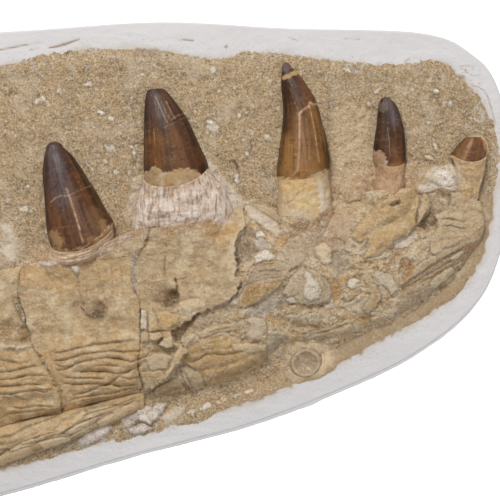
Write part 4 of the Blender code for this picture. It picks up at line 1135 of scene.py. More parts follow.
def dentary_length(name, behind, ahead, columns, rows, node, spacing=None):
    """One length of the bone as rings from margin to margin, between two crack lines.

    Rows lie closer towards the margins, where the bone turns down: their shares lag behind by a sine wave.
    """
    t = np.linspace(0, 1, rows)[None, :]
    t = t - 0.25 * np.sin(2 * math.pi * t) / (2 * math.pi)
    u = (np.linspace(0, 1, columns) if spacing is None else spacing)[:, None]
    x, y = between(behind, ahead, u, t, (0.5, 5))
    z, tint, crushed = bone_skin(x, y)
    if behind is JAW_REAR_END:
        z -= 3 * np.clip(1 - u * 30, 0, 1) ** 2
    bone_piece(name, x, y, z, tint, crushed, node)


fossil_bone = bone_finish()
in_view = np.concatenate([np.linspace(0, 0.76, 215, endpoint=False), np.linspace(0.76, 1, 105)])
dentary_length("dentary_1", JAW_REAR_END, FRACTURE_REAR, 262, 150, "dentary_rear")
dentary_length("dentary_2", FRACTURE_REAR, FRACTURE_MIDDLE, 320, 262, "dentary_middle_rear", in_view)
dentary_length("dentary_3", FRACTURE_MIDDLE, FRACTURE_FRONT, 150, 280, "dentary_middle_front")
dentary_length("dentary_4", FRACTURE_FRONT, BREAK_END, 176, 250, "dentary_front")


# Mineral in the cracks: pale lavender-grey calcite has grown in the front one, and brown sand fills the wide
# part of the middle one. Each fill is a thin wandering vein that sits a little below the bone's face.
VEINS = [  # pixels with half width in millimetres, colour, how far below the bone
    ([(150, 215, 0.6), (147, 226, 0.7), (143, 238, 0.8), (138, 250, 0.9), (135.6, 262, 0.9),
      (135.6, 276, 0.8), (137.5, 288, 0.6), (140, 297, 0.3)], 0xB0A18F, 0.75),
    ([(144.5, 309, 0.5), (145.5, 318, 0.9), (144.5, 327, 0.6)], 0xBCB2A8, 0.5),
    ([(17, 296, 0.7), (20.5, 304, 1.0), (24.5, 311, 0.9), (28, 321, 0.6)], 0xB2966E, 0.6),
    ([(40, 349, 0.5), (45, 356, 0.6), (51, 368, 0.8), (57, 381, 0.6), (62, 390, 0.8), (66, 402, 0.6)],
     0xAA804A, 1.1),
]


def vein(name, line, colour, sunk):
    """A vein as half-round rings carried along a line that follows the bone's face."""
    line = np.array(line)
    route = spot(line[:, :2])
    steps = 70
    share = np.linspace(0, 1, steps)
    own = np.linspace(0, 1, len(route))
    x, y = (np.interp(share, own, route[:, k]) + 0.12 * swell(share * 30, 0 * share, 2, 161 + k)
            for k in (0, 1))
    width = np.interp(share, own, line[:, 2]) * (1 + 0.35 * swell(share * 40, share, 2.5, 164))
    width *= np.clip(8 * share * (1 - share), 0.15, 1)
    heading = np.gradient(np.column_stack([x, y]), axis=0)
    heading /= np.linalg.norm(heading, axis=1)[:, None]
    turn = np.linspace(0, 2 * math.pi, 18, endpoint=False)
    across = np.cos(turn)[None] * width[:, None] * 1.25
    rings = np.stack([
        x[:, None] + across * heading[:, 1, None],
        y[:, None] - across * heading[:, 0, None],
        (sound_bone(x, y) - sunk)[:, None] + np.where(np.sin(turn) > 0, 0.15, 2.5)[None] * np.sin(turn)[None],
    ], -1)
    rings[..., 2] += 0.3 * rough(rings[..., 0], rings[..., 1], 1.2, 166, 4, 0.7)
    tone = 0.5 + 0.5 * rough(rings[..., 0], rings[..., 1], 1.5, 167, 2)
    tint = paint(colour, (0.5 * tone, srgb(colour) * 0.75))
    make_piece(name, rings, fossil_bone, "fossil_bone", tint=tint, crushed=1.0)


for k, (line, colour, sunk) in enumerate(VEINS):
    vein(f"vein_{k + 1}", line, colour, sunk)


# Splenial: the thin bone that backs the dentary and shows as a strip along its lower edge. It has split into
# long splinters side by side, and lies pressed against the dentary with its ends running out in the stone.
SPLENIAL_LINE = path("-165,-80.5 -140,-84.6 -100,-86.8 -20,-76 36,-63.4 66,-54.6 94,-45.2")
SPLENIAL_HALF_WIDTH = path("-165,2 -150,5.6 36,6.9 60,5 94,2")
SPLENIAL_TUCK = 4.2  # how far its upper edge runs on under the dentary
SPLENIAL_TOP, SPLENIAL_EDGE, SPLENIAL_UNDERSIDE = 49.6, 43.2, 36.0
SPLENIAL_SAND = 0.15  # share of sand pressed into it
SPLENIAL_SPLITS = [
    ("-260,471 -150,468 -60,456 0,443.8 12.8,442.5 25.5,437.4 38,432 51,428.5 63.8,424.6", 0.9, 0.7, 1.8),
    ("-330,490 -150,482 -60,468 0,455 7.7,449 21.7,443.8 39.5,440 55,436.8 69,434.8 92,423.4 114.8,413 "
     "139,404", 1.3, 1.0, 2.4),
    ("10,460 30,452 52,446 70,439", 0.4, 0.5, 1.6),
    ("-20,441 0,437 14,434 26,427 40,422 56,416 67,408", 0.8, 0.6, 1.2),
    ("-20,455 0,449 14,446 24,441 36,437 50,432 62,429", 0.6, 0.5, 1.0),
    ("58,436 70,428 84,421 96,417 110,411", 0.7, 0.6, 1.2),
    ("78,417 92,412 108,408 124,402 140,396", 0.6, 0.5, 1.0),
    ("60,425 72.7,417 89,408 108,404 122,405.5 139,401.7", 0.8, 0.7, 1.8),
    ("-420,488 -360,492 -300,490", 0.8, 0.5, 1.8),
]


SPLENIAL_CHIPS = [  # splinters on the strip, written like the plates of the crushed front
    ("66,434 76,424 90,418 96,420 92,427 80,432 70,439", 0.5, 0.35, 0xD8C09A, BONE_OCHRE),
    ("40,441 56,434 70,434 70,440 56,446 44,449", 0.3, 0.4, 0xD4BA92, BONE_CREAM),
    ("92,418 97,417 97,427 92,428", 0.3, 0.3, 0xB88E5C, BONE_CREAM),
    ("0,456 18,449 30,447 34,452 18,460 0,466", 0.4, 0.5, 0xCEB084, BONE_OCHRE),
    ("98,420 116,410 134,402 139,403 139,410 118,419 100,427", 0.4, 0.5, 0xD2B488, 0xC8A470),
    ("56,428 68,418 84,410 88,413 76,421 62,431", 0.5, 0.35, 0xD6BC92, BONE_OCHRE),
    ("10,446 28,440 44,435 46,438 30,444 12,450", 0.5, 0.3, 0xD0B48A, BONE_CREAM),
]


def splenial():
    """The strip as rings across its line: arched from edge to edge, thin at both ends, split lengthwise."""
    px, py = np.array(SPLENIAL_LINE, float).T
    x = np.concatenate([np.linspace(px[0], 30, 210, endpoint=False), np.linspace(30, px[-1], 190)])
    middle = margin(SPLENIAL_LINE, x)
    half = np.interp(x, *np.array(SPLENIAL_HALF_WIDTH, float).T) + 0.35 * swell(x, 0 * x, 9, 171)
    v = np.linspace(-1, 1, 56)
    y = middle[:, None] + half[:, None] * v + SPLENIAL_TUCK * (1 + v) / 2
    wide = np.broadcast_to(x[:, None], y.shape)
    end = np.clip((px[-1] - wide) / 30, 0, 1) ** 0.5 * np.clip((wide - px[0]) / 14, 0, 1) ** 0.5
    arch = (1 - np.abs(v[None]) ** np.where(v > 0, 6, 2.4)) ** 0.8
    z = SPLENIAL_EDGE + (SPLENIAL_TOP - SPLENIAL_EDGE) * arch * (0.25 + 0.75 * end)
    z += 0.3 * rough(wide * 0.4, y, 8, 172, 3) + 0.1 * rough(wide * 0.3, y, 2, 174, 3)
    dark = np.zeros(y.shape)
    for split in SPLENIAL_SPLITS:
        change, shade = crease(wide, y, *split)
        z, dark = z + change * (0.3 + 0.7 * end), np.maximum(dark, 0.7 * shade)
    tint = paint(
        0xCBAC80,
        (0.6 * blotches(wide * 0.4, y, 9, 176), BONE_OCHRE * 1.04),
        (0.5 * blotches(wide * 0.5, y, 6, 178), BONE_CREAM),
        (0.4 * blotches(wide * 0.5, y, 2.6, 179), 0x9E7C52),
        # Painted shade in the splits.
        (dark, BONE_PAINTED_SHADE),
    )
    grit = np.full(y.shape, SPLENIAL_SAND)
    lay_plates(wide, y, z.copy(), z, tint, grit, SPLENIAL_CHIPS)
    bone_piece(
        "splenial_strip", wide, y, z, tint, grit, "splenial",
        lip=-0.2, foot=0.8, underside=SPLENIAL_UNDERSIDE, buried=SPLENIAL_SAND,
    )


splenial()


# Crushed front of the dentary: splinters and sand pressed into one crumpled mass, with plates of the bone's
# own skin tilted in it, and crests and grooves. It lies in two halves, and the forms run on across both.
BED_START = path("96,-100 96,-40 112,-14 128,6 128,60")
BED_MIDDLE = path("163,-100 163,100")
BED_TAN = srgb(0xDDBE92)
CRUSHED_COLUMNS, CRUSHED_ROWS = 330, 290
# The first colour here is painted shade, the dark brown laid in the grooves of the crushed front.
GROOVE_SHADE, WHITE_CHIP = srgb(0x7C6448), srgb(0xE8DCCA)
FOLDED_PLATE = [
    ("184,359 192,361 200,358 206,354 215,353 226,354 240,351 254,347", 0.8, 0.9, 2.4),
    ("198,350 212,348 229,347 246,344", 0.3, 0.5, 1.8),
    ("203,338 216,337 226,333", 0.3, 0.5, 1.4),
    ("196,370 222,366 244,358 262,350", 0.1, 0.6, 3.4),
    ("204,381 228,377 246,370 260,360", 0.1, 0.6, 3.4),
]
LOBE_FOLDS = [
    ("350,240 362,236 374,229 386,224 400,217 414,206", 0.1, 0.4, 3.4),
    ("360,214 372,211 384,207 390,206", 0.1, 0.3, 2.4),
    ("372,252 386,244 402,236 413,224", 0.1, 0.35, 2.6),
]
BLOCK_LEDGES = [
    ("438,220 446,219 455,220.5 465,223", 1.3, 0.5, 1.3),
    ("440,226 450,226 460,229 466,229", 1.0, 0.3, 0.9),
    ("436,241 448,239 460,238", 0.3, 0.2, 1.3),
    ("446,205 456,207", 0.4, 0.3, 1.2),
    ("462,214 472,210 484,214", 0.1, 0.4, 1.8),
    ("436,250 450,247 464,240", 0.2, 0.15, 1.1),
]
PLATES = [  # written like the sand patches, with the lift over the bed
    ("240,236 248,226 262,238 258,249 250,262 238,264 235,250", -1.0, 0.8, 0x988165, 0x887156),
    ("250,203 262,205 275,211 281,222 268,217 256,211", 0.3, 0.5, 0xC0A884, 0xB09672),
    ("243,205 250,206 262,213 275,222 282,233 277,236 271,232 260,225 249,216", 0.9, 0.45, 0xD6C8B8,
     0xC0AC98),
    ("256,233 261,231 265,235 262,239 257,238", 0.5, 0.3, WHITE_CHIP, 0xC8B496),
    ("253,241 262,238 271,246 269,251 256,250", 0.1, 0.8, 0xB6A898, 0xCEC2B2),
    ("254,257 258,251.5 268,250.5 275,256 274,260 264,261 256,263", 1.1, 0.25, WHITE_CHIP, 0xD6C6AC, 0,
     0.05, []),
    ("282,250 288,240 299,236 309,241 313,250 305,259 297,265 291,270 287,262", 0.7, 0.5, 0xC1AC8E,
     0xB49872),
    ("284,232 300,222 330,212 354,212 356,234 342,250 322,264 308,252 296,242", 0.1, 2.6, 0xC0A385,
     0xB4916E),
    ("290,228 296,216 310,213 326,212 326,219 308,230 298,233", 0.0, 1.2, 0x9E7C58, 0xAA8966),
    ("226,307 236,294 248,277 252,266 264,262 276,260 290,266 288,277 272,282 258,286 246,293 240,307", 0.9,
     0.3, 0xB19A7D, 0xC09E72, 0.02, -0.05, [("256,272 268,270 282,272", 0.3, 0.4, 1.4), ("238,298 246,284 "
     "254,270", 0.25, 0.3, 1.2)]),
    ("240,297 246,285 258,281 272,278.5 285,276.5 277,287 264,298 252,304 242,307", 1.0, 0.25, 0xAC8854,
     0xB89864, 0.02, -0.04, []),
    ("262,300 276,290 288,286 284,300 274,312 258,318 244,318", -0.4, 1.4, 0xB4A592, 0xA4927C),
    ("282,293 291,277 302,267 316,272 327,281 332,292 326,301 310,304 294,303", 1.5, 0.5, 0xC0AA8C,
     0xAE987A, 0.02, 0.03, []),
    ("303,269 312,276 319,286 318,297 308,300 302,293 305,282", 2.2, 0.7, 0xDED1BD, 0xC4B196, 0.05, 0, []),
    ("284,299 290,295 297,300 290,303", 0.7, 0.3, 0xD8CBB8, 0xC8B89E),
    ("286,313 289,306 297,303 300,307 293,311", 0.5, 0.3, 0xC8A570, BONE_CREAM),
    ("307,318 309,313 314,312 318,315 319,320 316,324 310,324", 1.3, 0.4, 0xCAB696, 0xB29A78, 0, 0,
     [("309,319 311,315 315,315 317,319", 0.5, 0.2, 0.6)]),
    ("242,322 252,316 264,319 267,330 258,340 248,334", 0.9, 0.6, 0xCEB89C, 0xDECBB0),
    ("188,322 205,311 226,305 240,306 238,314 218,321 200,330 184,336", 0.2, 1.0, 0xC4AA86, 0xB2946E),
    ("198,332 212,326 228,323 243,319 248,324 234,330 217,333 203,337", 0.5, 0.3, 0xC6AA80, 0xD0BB9B, 0,
     0.03, [("206,333 218,329 236,326", 0.4, 0.3, 0.8)]),
    ("181,359 192.5,344 206,337 216,333 226,332 238,338 250,343 266,344 266,355 260,368 248,377 231,383 "
     "214,388 205,386 202,376 194,367", 1.1, 0.3, 0xBE9A66, 0xCEAE7E, 0, 0, FOLDED_PLATE),
    ("188,356 190,347 200,343 208,346 204,353", 1.5, 0.7, 0xA8834A, 0xB29260),
    ("232,343 246,343 266,344.5 266,350 250,351 236,349", 1.9, 0.5, 0xCEB58C, 0xC4A87E),
    ("181,365 190,366 200,372 206,389 191,392 184,378", 1.0, 0.3, 0xBEA480, 0xB0946E, 0, -0.03, [("184,370 "
     "189,380 192,391", 0.1, 0.7, 1.2)]),
    ("152,392 163,384 173,378 179,379.5 187,393 184,398 164,402 152.5,402", 1.4, 0.3, 0xB29268, 0xBA9A70, 0,
     -0.04, [("156,397 168,392 182,388", 0.1, 0.4, 1.4)]),
    ("140,396 146,393.5 152,396 151,405 144,408 140,404", 1.0, 0.35, 0xB69E7C, 0xC2AC8C),
    ("266,336 278,334 286,338 284,350 276,366 266,370 264,356 268,346", -0.3, 0.9, 0xBEAA8E, 0xB29D80),
    ("348,237 358,226 366,215 376,206 388,197 400,190 416,186.5 419,198 417,210 413,226 402,238 388,245 "
     "376,255 362,257 367,248 366,240 357,242", 1.5, 0.8, 0xC4A270, 0xD0B286, 0, 0, LOBE_FOLDS),
    # This plate and the next are holes whose darkness is painted shade.
    ("388,206 391,203 397,201.5 397,205 392,208", -0.3, 0.5, 0x907558, 0x886E52),
    ("416,226 424,216 431,209 437,216 436,226 424,231", -1.4, 0.6, 0x8C7252, 0x7A6144),
    ("417,211 421,203 431,200 430,206 422,216 416,225", 1.9, 0.3, 0xC6A97E, 0xD4BE9A),
    ("418,186 424,177 434,169 446,166 459,168 463,186 467,191 452,191 440,190 428,189", 0.9, 0.5, 0xDED2C4,
     0xC0AA90),
    ("426,190 440,188 449,194 450,206 440,214 428,212", -0.3, 1.0, 0xA48B6C, 0xC4AC8C),
    ("449,194 466,191 480,194 486,203 490,217 486,228 470,239 452,248 436,257 428,252 430,240 436,228 "
     "434,216 446,210 450,203", 1.5, 0.35, 0xC2A782, 0xD0B996, 0.03, 0, BLOCK_LEDGES),
    ("482,240 470,241 450,252 430,264 412,276 398,287 404,293 424,282 446,271 464,261 482,250", -0.4, 0.4,
     0xB29774, 0xA48967, 0, 0.08, [("404,288 428,274 452,260 474,247", 0.4, 0.4, 1.2)]),
    ("488,222 486,232 472,243 450,253 430,264 411,277 404,281 410,270 430,257 450,247 470,238", 0.9, 0.3,
     0xC4A881, 0xB69063, 0, 0.03, []),
    ("462,251 463,247 470,244 474,246 470,251", 0.3, 0.6, BONE_RUST, 0xA87848),
    ("450,259 455,254 462,251.5 463,254 456,259", 0.4, 0.3, 0xD8C8B0, BONE_CREAM),
    ("429,288 432,280 441,273 451,267 454,271 445,281 436,288", 0.9, 0.3, 0xD0BB98, 0xDED0B8, 0, 0.1, []),
    ("396,270 398,259 406,256 413,262 411,275 403,279", -0.3, 1.0, 0xB28854, 0xA0703C),
    ("343,298 349,291 357,287 359,291 352,297 345,301", 0.9, 0.3, 0xC2A06C, BONE_CREAM),
    ("346,286 348,279 353,277 359,281 354,284 351,289", 0.8, 0.25, WHITE_CHIP, BED_PALE),
    ("370,274 375,271 386,273 393,280 396,290 390,294 384,286 376,281", 0.9, 0.3, 0xD4C4AA, 0xC0AA8A),
    ("363,279 368,276 372,283 378,291 380,299 374,307 368,312 362,309 366,302 370,296 368,287", 1.0, 0.3,
     0xBE9E70, 0xCCB188),
    ("330,252 342,250 352,258 350,272 338,276 331,266", -0.7, 0.8, 0xA6937A, 0xBEAC94),
    ("314,247 322,243 331,250 330,262 322,264 316,256", 0.8, 0.7, 0xD4BE9E, 0xC4A47E),
    ("330,276 340,282 342,296 334,302 330,290", -0.2, 0.8, 0xB68E58, 0xA88454),
    ("396,306 405,290 420,284 440,291 446,301 430,316 412,327 398,324", 0.3, 1.6, 0xB49B7A, 0xA68D6D),
    ("350,337 356,332 366,331 370,336 360,342 351,341", -1.2, 0.5, 0x8E683A, 0x7C5C36),
    ("370,318 380,314 392,322 402,333 396,337 384,334 374,328", 0.6, 0.6, 0xC4A77D, 0xB6986E),
    ("318,330 332,324 350,320 352,328 336,335 320,338", 0.5, 0.5, 0xBEA27C, 0xB0946E, 0, 0.04, []),
    ("392,242 406,236 415,232 416,238 404,246 392,250", 0.2, 0.5, 0xDACCB8, 0xC4AE92),
]
RIDGES = [  # written like the sand's lines, with a height below 0 for a groove
    # Grooves in the dark browns are painted shade.
    ("283,251 288,260 292,269", 0.5, 0.4, 0xD2C4B2, 0.6),
    ("320,277 325,288 322,299", 0.45, -0.6, GROOVE_SHADE, 0.4),
    ("290,322 293,317 299,316 303,320", 0.5, 0.9, BED_PALE, 0.7),
    ("292,328 298,331 303,327", 0.5, 0.8, BED_PALE, 0.7),
    ("272,316 278,312 284,315", 0.6, 0.9, BED_PALE, 0.5),
    ("434,171 432,184", 1.6, 1.0, BED_PALE, 0.4),
    ("438,190 443,197", 0.5, -0.2, BONE_RUST, 0.7),
    ("325,262 329,270 336,278", 0.7, 1.0, BED_PALE, 0.7),
    ("376,304 384,315 392,324 399,334", 1.2, 0.9, 0xC8AE86, 0.6),
    ("265,317 266,328 265,340", 0.4, 0.7, 0xCCB28E, 0.7),
    ("336,238 346,246 356,248", 0.9, -0.8, GROOVE_SHADE, 0.4),
    ("352,262 364,260 376,258 388,256", 0.6, 0.8, BED_PALE, 0.6),
    ("348,268 362,270 374,268", 0.5, -0.7, GROOVE_SHADE, 0.4),
    ("352,254 360,246 366,240", 0.8, 0.8, BED_PALE, 0.7),
    ("300,340 316,334 336,328 352,322", 0.5, -0.7, GROOVE_SHADE, 0.4),
    ("305,308 318,306 330,302", 0.6, -0.8, GROOVE_SHADE, 0.5),
    ("340,306 352,302 362,296", 0.6, 0.9, BED_PALE, 0.5),
    ("384,300 394,296 404,288", 0.6, -0.7, GROOVE_SHADE, 0.4),
    ("418,296 424,304", 0.5, -0.8, 0x6E5638, 0.7),
    ("254,266 262,265 274,263", 0.35, -0.8, GROOVE_SHADE, 0.6),
    ("236,268 240,272 252,272", 0.35, -0.6, GROOVE_SHADE, 0.5),
    ("200,330 190,340 182,352 176,366", 0.5, 0.7, BED_PALE, 0.6),
    ("416,188 418,200 416,214", 0.25, -0.4, GROOVE_SHADE, 0.5),
    ("205,372 203,382 207,389", 0.4, -0.5, 0xAA7E48, 0.5),
]


def crumpled(x, y, size, seed):
    """Crumpled relief, about -1 to 1: sharp crests where a bent swell passes zero, at four sizes."""
    bent_x, bent_y = x + 0.4 * size * swell(x, y, size, seed), y + 0.4 * size * swell(x, y, size, seed + 1)
    sizes = [(0.55**k, swell(bent_x, bent_y, size / 2**k, seed + 2 + k)) for k in range(4)]
    return 0.55 * sum(share * (1 - 3.2 * np.abs(wave)) for share, wave in sizes)


def crushed_half(name, start, end):
    """One half of the crushed front as rings from margin to margin, sunk where whole skin lies over it."""
    u, t = np.linspace(0, 1, CRUSHED_COLUMNS)[:, None], np.linspace(0, 1, CRUSHED_ROWS)[None]
    x, y = between(start, end, u, t, (0.9, 6), 1.5, 0.8)
    crests = crumpled(x * 0.8 + y * 0.3, y, 9.5, 181)
    lumps = rough(x, y, 3.4, 186, 3, 0.55)
    level = crushed_bed(x, y)
    z = level + 0.8 * crests + 0.35 * lumps + 0.5 * rough(x, y, 14, 188, 2)
    tone = crests + 0.5 * lumps
    tint = paint(
        BED_TAN,
        # By the crumples' height: painted shade in their hollows, and on their crests a pale coat that is
        # both weathering and a painted highlight.
        (0.45 * step(-0.1, -0.9, tone), 0x9E825D),
        (0.9 * step(0.0, 0.75, tone), 0xF0DDBC),
        (0.75 * blotches(x, y, 8, 191, -0.05, 0.55), 0xD4A868),
        (0.4 * blotches(x, y, 11, 193, 0.2, 0.8), 0xC4AD8E),
        (0.5 * blotches(x, y, 5, 195, 0.45, 0.9), 0xAA7A46),
        (0.8 * blotches(x, y, 3.6, 197, 0.6, 0.8), 0xE4D7C2),
        (0.6 * blotches(x, y, 2.2, 199, 0.5, 0.8), BED_DEEP),
    )
    grit = np.full(x.shape, 0.65)
    lay_plates(x, y, level, z, tint, grit, PLATES)
    lay_ridges(x, y, z, tint, RIDGES)
    z += 0.16 * rough(x, y, 1.3, 203, 3, 0.7)
    away, _, _ = follow(x, y, CRUSHED_OUTLINE, closed=True)
    buried = np.where(within(x, y, CRUSHED_OUTLINE), 0, np.clip(away - 1.2, 0, 4))
    z -= buried + 3.5 * np.exp(-t / 0.02) + 2.5 * np.exp(-(1 - t) / 0.012)
    if end is JAW_FRONT_END:
        z -= 9 * np.clip(1 - (1 - u) * 28, 0, 1) ** 2
    bone_piece(name, x, y, z, tint, grit, "dentary_front", foot=5.0)


crushed_half("crushed_rear", BED_START, BED_MIDDLE)
crushed_half("crushed_front", BED_MIDDLE, JAW_FRONT_END)


# Teeth: curved crowns cased in smooth dark enamel over tan dentine, half sunk in the sand. Two whole ones and
# three chipped ones show in the photograph; the back ones are finished from the species. Each is one piece.
CROWN_AXIS_HEIGHT = 45.5
CROWN_AXIS_RISE = 1.5
CROWN_DEPTH_SHARE = 0.84
BACK_CROWN_HEIGHT = (40.0, 25.0)
BACK_CROWN_LEAN = (-10.5, -7.4)
BACK_CROWN_VARIATION = 0.05
BACK_FOOT_RAISE = 4.0
BROKEN_BACK_TOOTH, BROKEN_SHARE_LEFT = 3, 0.34
FRACTURE_REAR_X = -72
ENAMEL_CREAM, DENTINE = srgb(0xE0BE96), srgb(0xAB8A62)
FRONT_CROWNS = [  # edges from foot to tip, foot line and marks in pixels, bulges in millimetres
    dict(
        name="tooth_1", bulge=6.0, tip=2.4, dentine=0xA08058,
        left="51,247 48,236 46,223 45,207 44,191 43,175 44,159 46.5,149",
        right="112.5,225 113,221 108,213 102,202 96,191 88,179 80,166 72,155 63,147",
        colours=[0x3C2C27, 0x65432C, 0x603D22], painted_sheen=(0.1, 0x625252),
        washes_and_highlights=[
            # The first wash is a painted highlight.
            ("54,152 57,172 66,202", 3.0, 0.6, 0x64585C), ("46,160 46,190 49,214", 1.4, 0.6, 0x2E1E1A),
            ("66,150 82,176 97,203", 1.8, 0.5, 0x3A261C), ("76,176 88,200", 1.6, 0.5, 0x704422),
            ("80,206 88,224", 2.2, 0.4, 0x60463E), ("104,206 110,222", 1.4, 0.5, 0x623A20),
            ("56,214 62,224", 2.0, 0.4, 0x6E482C),
        ],
        foot="44,245 52,248 62,248.5 74,250 86,247 97,241 105,233 112,224 118,217",
        patches=[
            ("56,236 60,242", 3.0, 0.8, 0xA68258), ("96,216 104,232", 4.0, 0.3, 0x8C6C4E),
            ("104,222 107,232", 1.4, 0.6, 0x9C7852), ("92,240 98,238", 1.2, 0.5, 0x96704A),
        ],
        cracks=[
            ("53,203 58,198.5 64,196.5 71,196.5", 0.2, 0.8), ("72,196 78,193 92,186", 0.14, 0.6),
            ("69,189 72,197 76,209 80,220 83,231 86,243", 0.3, 0.95),
        ],
    ),
    dict(
        name="tooth_2", bulge=6.0, tip=0.25, dentine=0xAE8F68,
        left="144,180 143.6,160 143.6,144 144,128 144.4,112 145.4,99 147.5,91",
        right="207,176 208.5,168 206,159 201,148 196,137 191,126 185,115 177,104 169,94 163.4,89",
        colours=[0x3A271E, 0x664123, 0x583820], painted_sheen=(0.06, 0x705C58),
        washes_and_highlights=[
            # The first wash and the one along 176,126 are painted highlights.
            ("151,95 154,108 158,121", 2.2, 0.35, 0x6E564E), ("163,98 168,110 173,122", 1.5, 0.4, 0x805E46),
            ("176,126 181,144 187,164", 2.4, 0.4, 0x6A4E42),
            ("150,142 164,141 174,139", 2.8, 0.45, 0x86582A),
            ("148,158 160,162 168,160", 2.4, 0.4, 0x744A24), ("196,150 201,162", 1.6, 0.5, 0x6C4220),
            ("170,94 180,108", 0.8, 0.5, 0x6E4424), ("146,93 150,90", 1.2, 0.6, 0x261E22),
            ("160,124 176,122 188,120", 0.8, 0.5, 0x3A261C),
        ],
        foot="138,176 145,173 150,172 152.5,168 157,167 160,171 165,174 173,173 181,170 190,170 197,172 "
        "203,178 207,173 214,170",
        patches=[],
        cracks=[
            ("157,99 162,111 168,124", 0.16, 0.8), ("167,103 172,113 176,120", 0.22, 0.85),
            ("172,122 178,117 184,114", 0.16, 0.7), ("162,103 167,114 171,121", 0.12, 0.6),
            ("166,129 176,124 188,117", 0.1, 0.5), ("146,126 147,150 147,168", 0.12, 0.35),
            ("155,130 156,150 157,164", 0.12, 0.4), ("150,108 151,126 151,150", 0.1, 0.35),
        ],
    ),
    dict(
        name="tooth_3", bulge=2.6, tip=2.2, dentine=0xBEA072,
        left="278,184 276.5,172 278,159 280,143 282,128 283,112 282,96 281,80 282,69",
        right="329,172 330,159 328,148 326,135 322,123 319,110 315,99 309,89 303,80 297,73 291,67",
        colours=[0x402515, 0x94693A, 0x764C24], painted_sheen=(0.06, 0x745642),
        washes_and_highlights=[
            ("297,84 304,106", 1.5, 0.5, 0x6A4E46), ("292,88 296,112", 1.4, 0.5, 0x422414),
            ("285,88 285,108 286,132", 3.0, 0.7, 0x361E11), ("307,92 313,104", 1.4, 0.5, 0x623A1C),
            ("312,108 322,140", 1.8, 0.4, 0xA87A42), ("284,140 284,168", 1.8, 0.45, 0x9E723E),
            ("302,120 306,160", 2.4, 0.4, 0x8A684E), ("280,172 296,178 318,172", 1.8, 0.6, 0x966E40),
        ],
        foot="270,176 287,179 298,180 307,179 315,174 335,167",
        patches=[("283,79 289,77 296,73", 1.1, 0.85, 0xBC9A6C), ("285,68", 2.4, 0.7, 0x706262)],
        cracks=[
            ("298,115.5 303,111 308,108 309.5,103.5 312,105.5 317,104.5", 0.4, 1.0),
            ("299,116 299,130 298.6,150 297,171", 0.32, 1.0), ("309,108 314,132 318,163", 0.22, 0.95),
            ("290,90 294,104 299,115", 0.1, 0.4), ("292,176 297,171 298,166", 0.3, 0.7),
            ("305,118 308,140 309,165", 0.1, 0.4), ("322,128 325,150", 0.1, 0.4),
            ("280,146 290,146 298,150", 0.1, 0.5), ("292,155 298,156", 0.16, 0.7),
            ("296,172 308,171 318,173", 0.14, 0.4),
        ],
    ),
    dict(
        name="tooth_4", bulge=2.4, tip=1.2, dentine=0xA68668,
        left="376,171 373,160 373,150 375,135 377,120 378,108 380,101",
        right="405,168 406,153 405,140 403.6,128 401,118 398,109 394,102.5 391,100",
        colours=[0x2E211C, 0x503320, 0x4E2F1A], painted_sheen=(0.0, 0x645858),
        washes_and_highlights=[
            # The first wash is a painted highlight.
            ("388,102 391,112 395,124", 1.7, 0.65, 0x625C62), ("394,150 396,166", 2.2, 0.45, 0x86583C),
            ("388,167 402,164", 1.0, 0.6, 0x9E6834), ("380,120 378,146", 1.6, 0.4, 0x543C2C),
        ],
        foot="366,149 373,151 380,152 383.5,156 386,163 386,171 398,170 404,167 412,158",
        patches=[("382,108", 2.4, 0.6, 0x766858)],
        cracks=[("386,128 388,142 388.6,158", 0.14, 0.6), ("392,112 393,132", 0.1, 0.3)],
    ),
    dict(
        name="tooth_5", bulge=3.4, tip=0.3, dentine=0xB8986C,
        left="450,155.5 457,146 464.5,138",
        right="485.5,160 486.4,149 485,142.5 481,138",
        colours=[0x6E4A32, 0x744E32, 0x6A4122], painted_sheen=(0.0, 0x8C6C56),
        washes_and_highlights=[
            ("471,139 461,162", 0.5, 0.7, 0xA47238), ("466,139 455,158", 0.5, 0.4, 0x8E6234),
            ("478,140 480,164", 1.6, 0.5, 0x764C34), ("456,148 458,158", 1.6, 0.5, 0x886440),
        ],
        foot="440,154 450,155.5 462,163 473,167 482,165 492,160",
        patches=[("482,139 485,150", 0.8, 0.8, 0xC48C54)],
        cracks=[("462,160 472,140", 0.1, 0.3)],
    ),
]


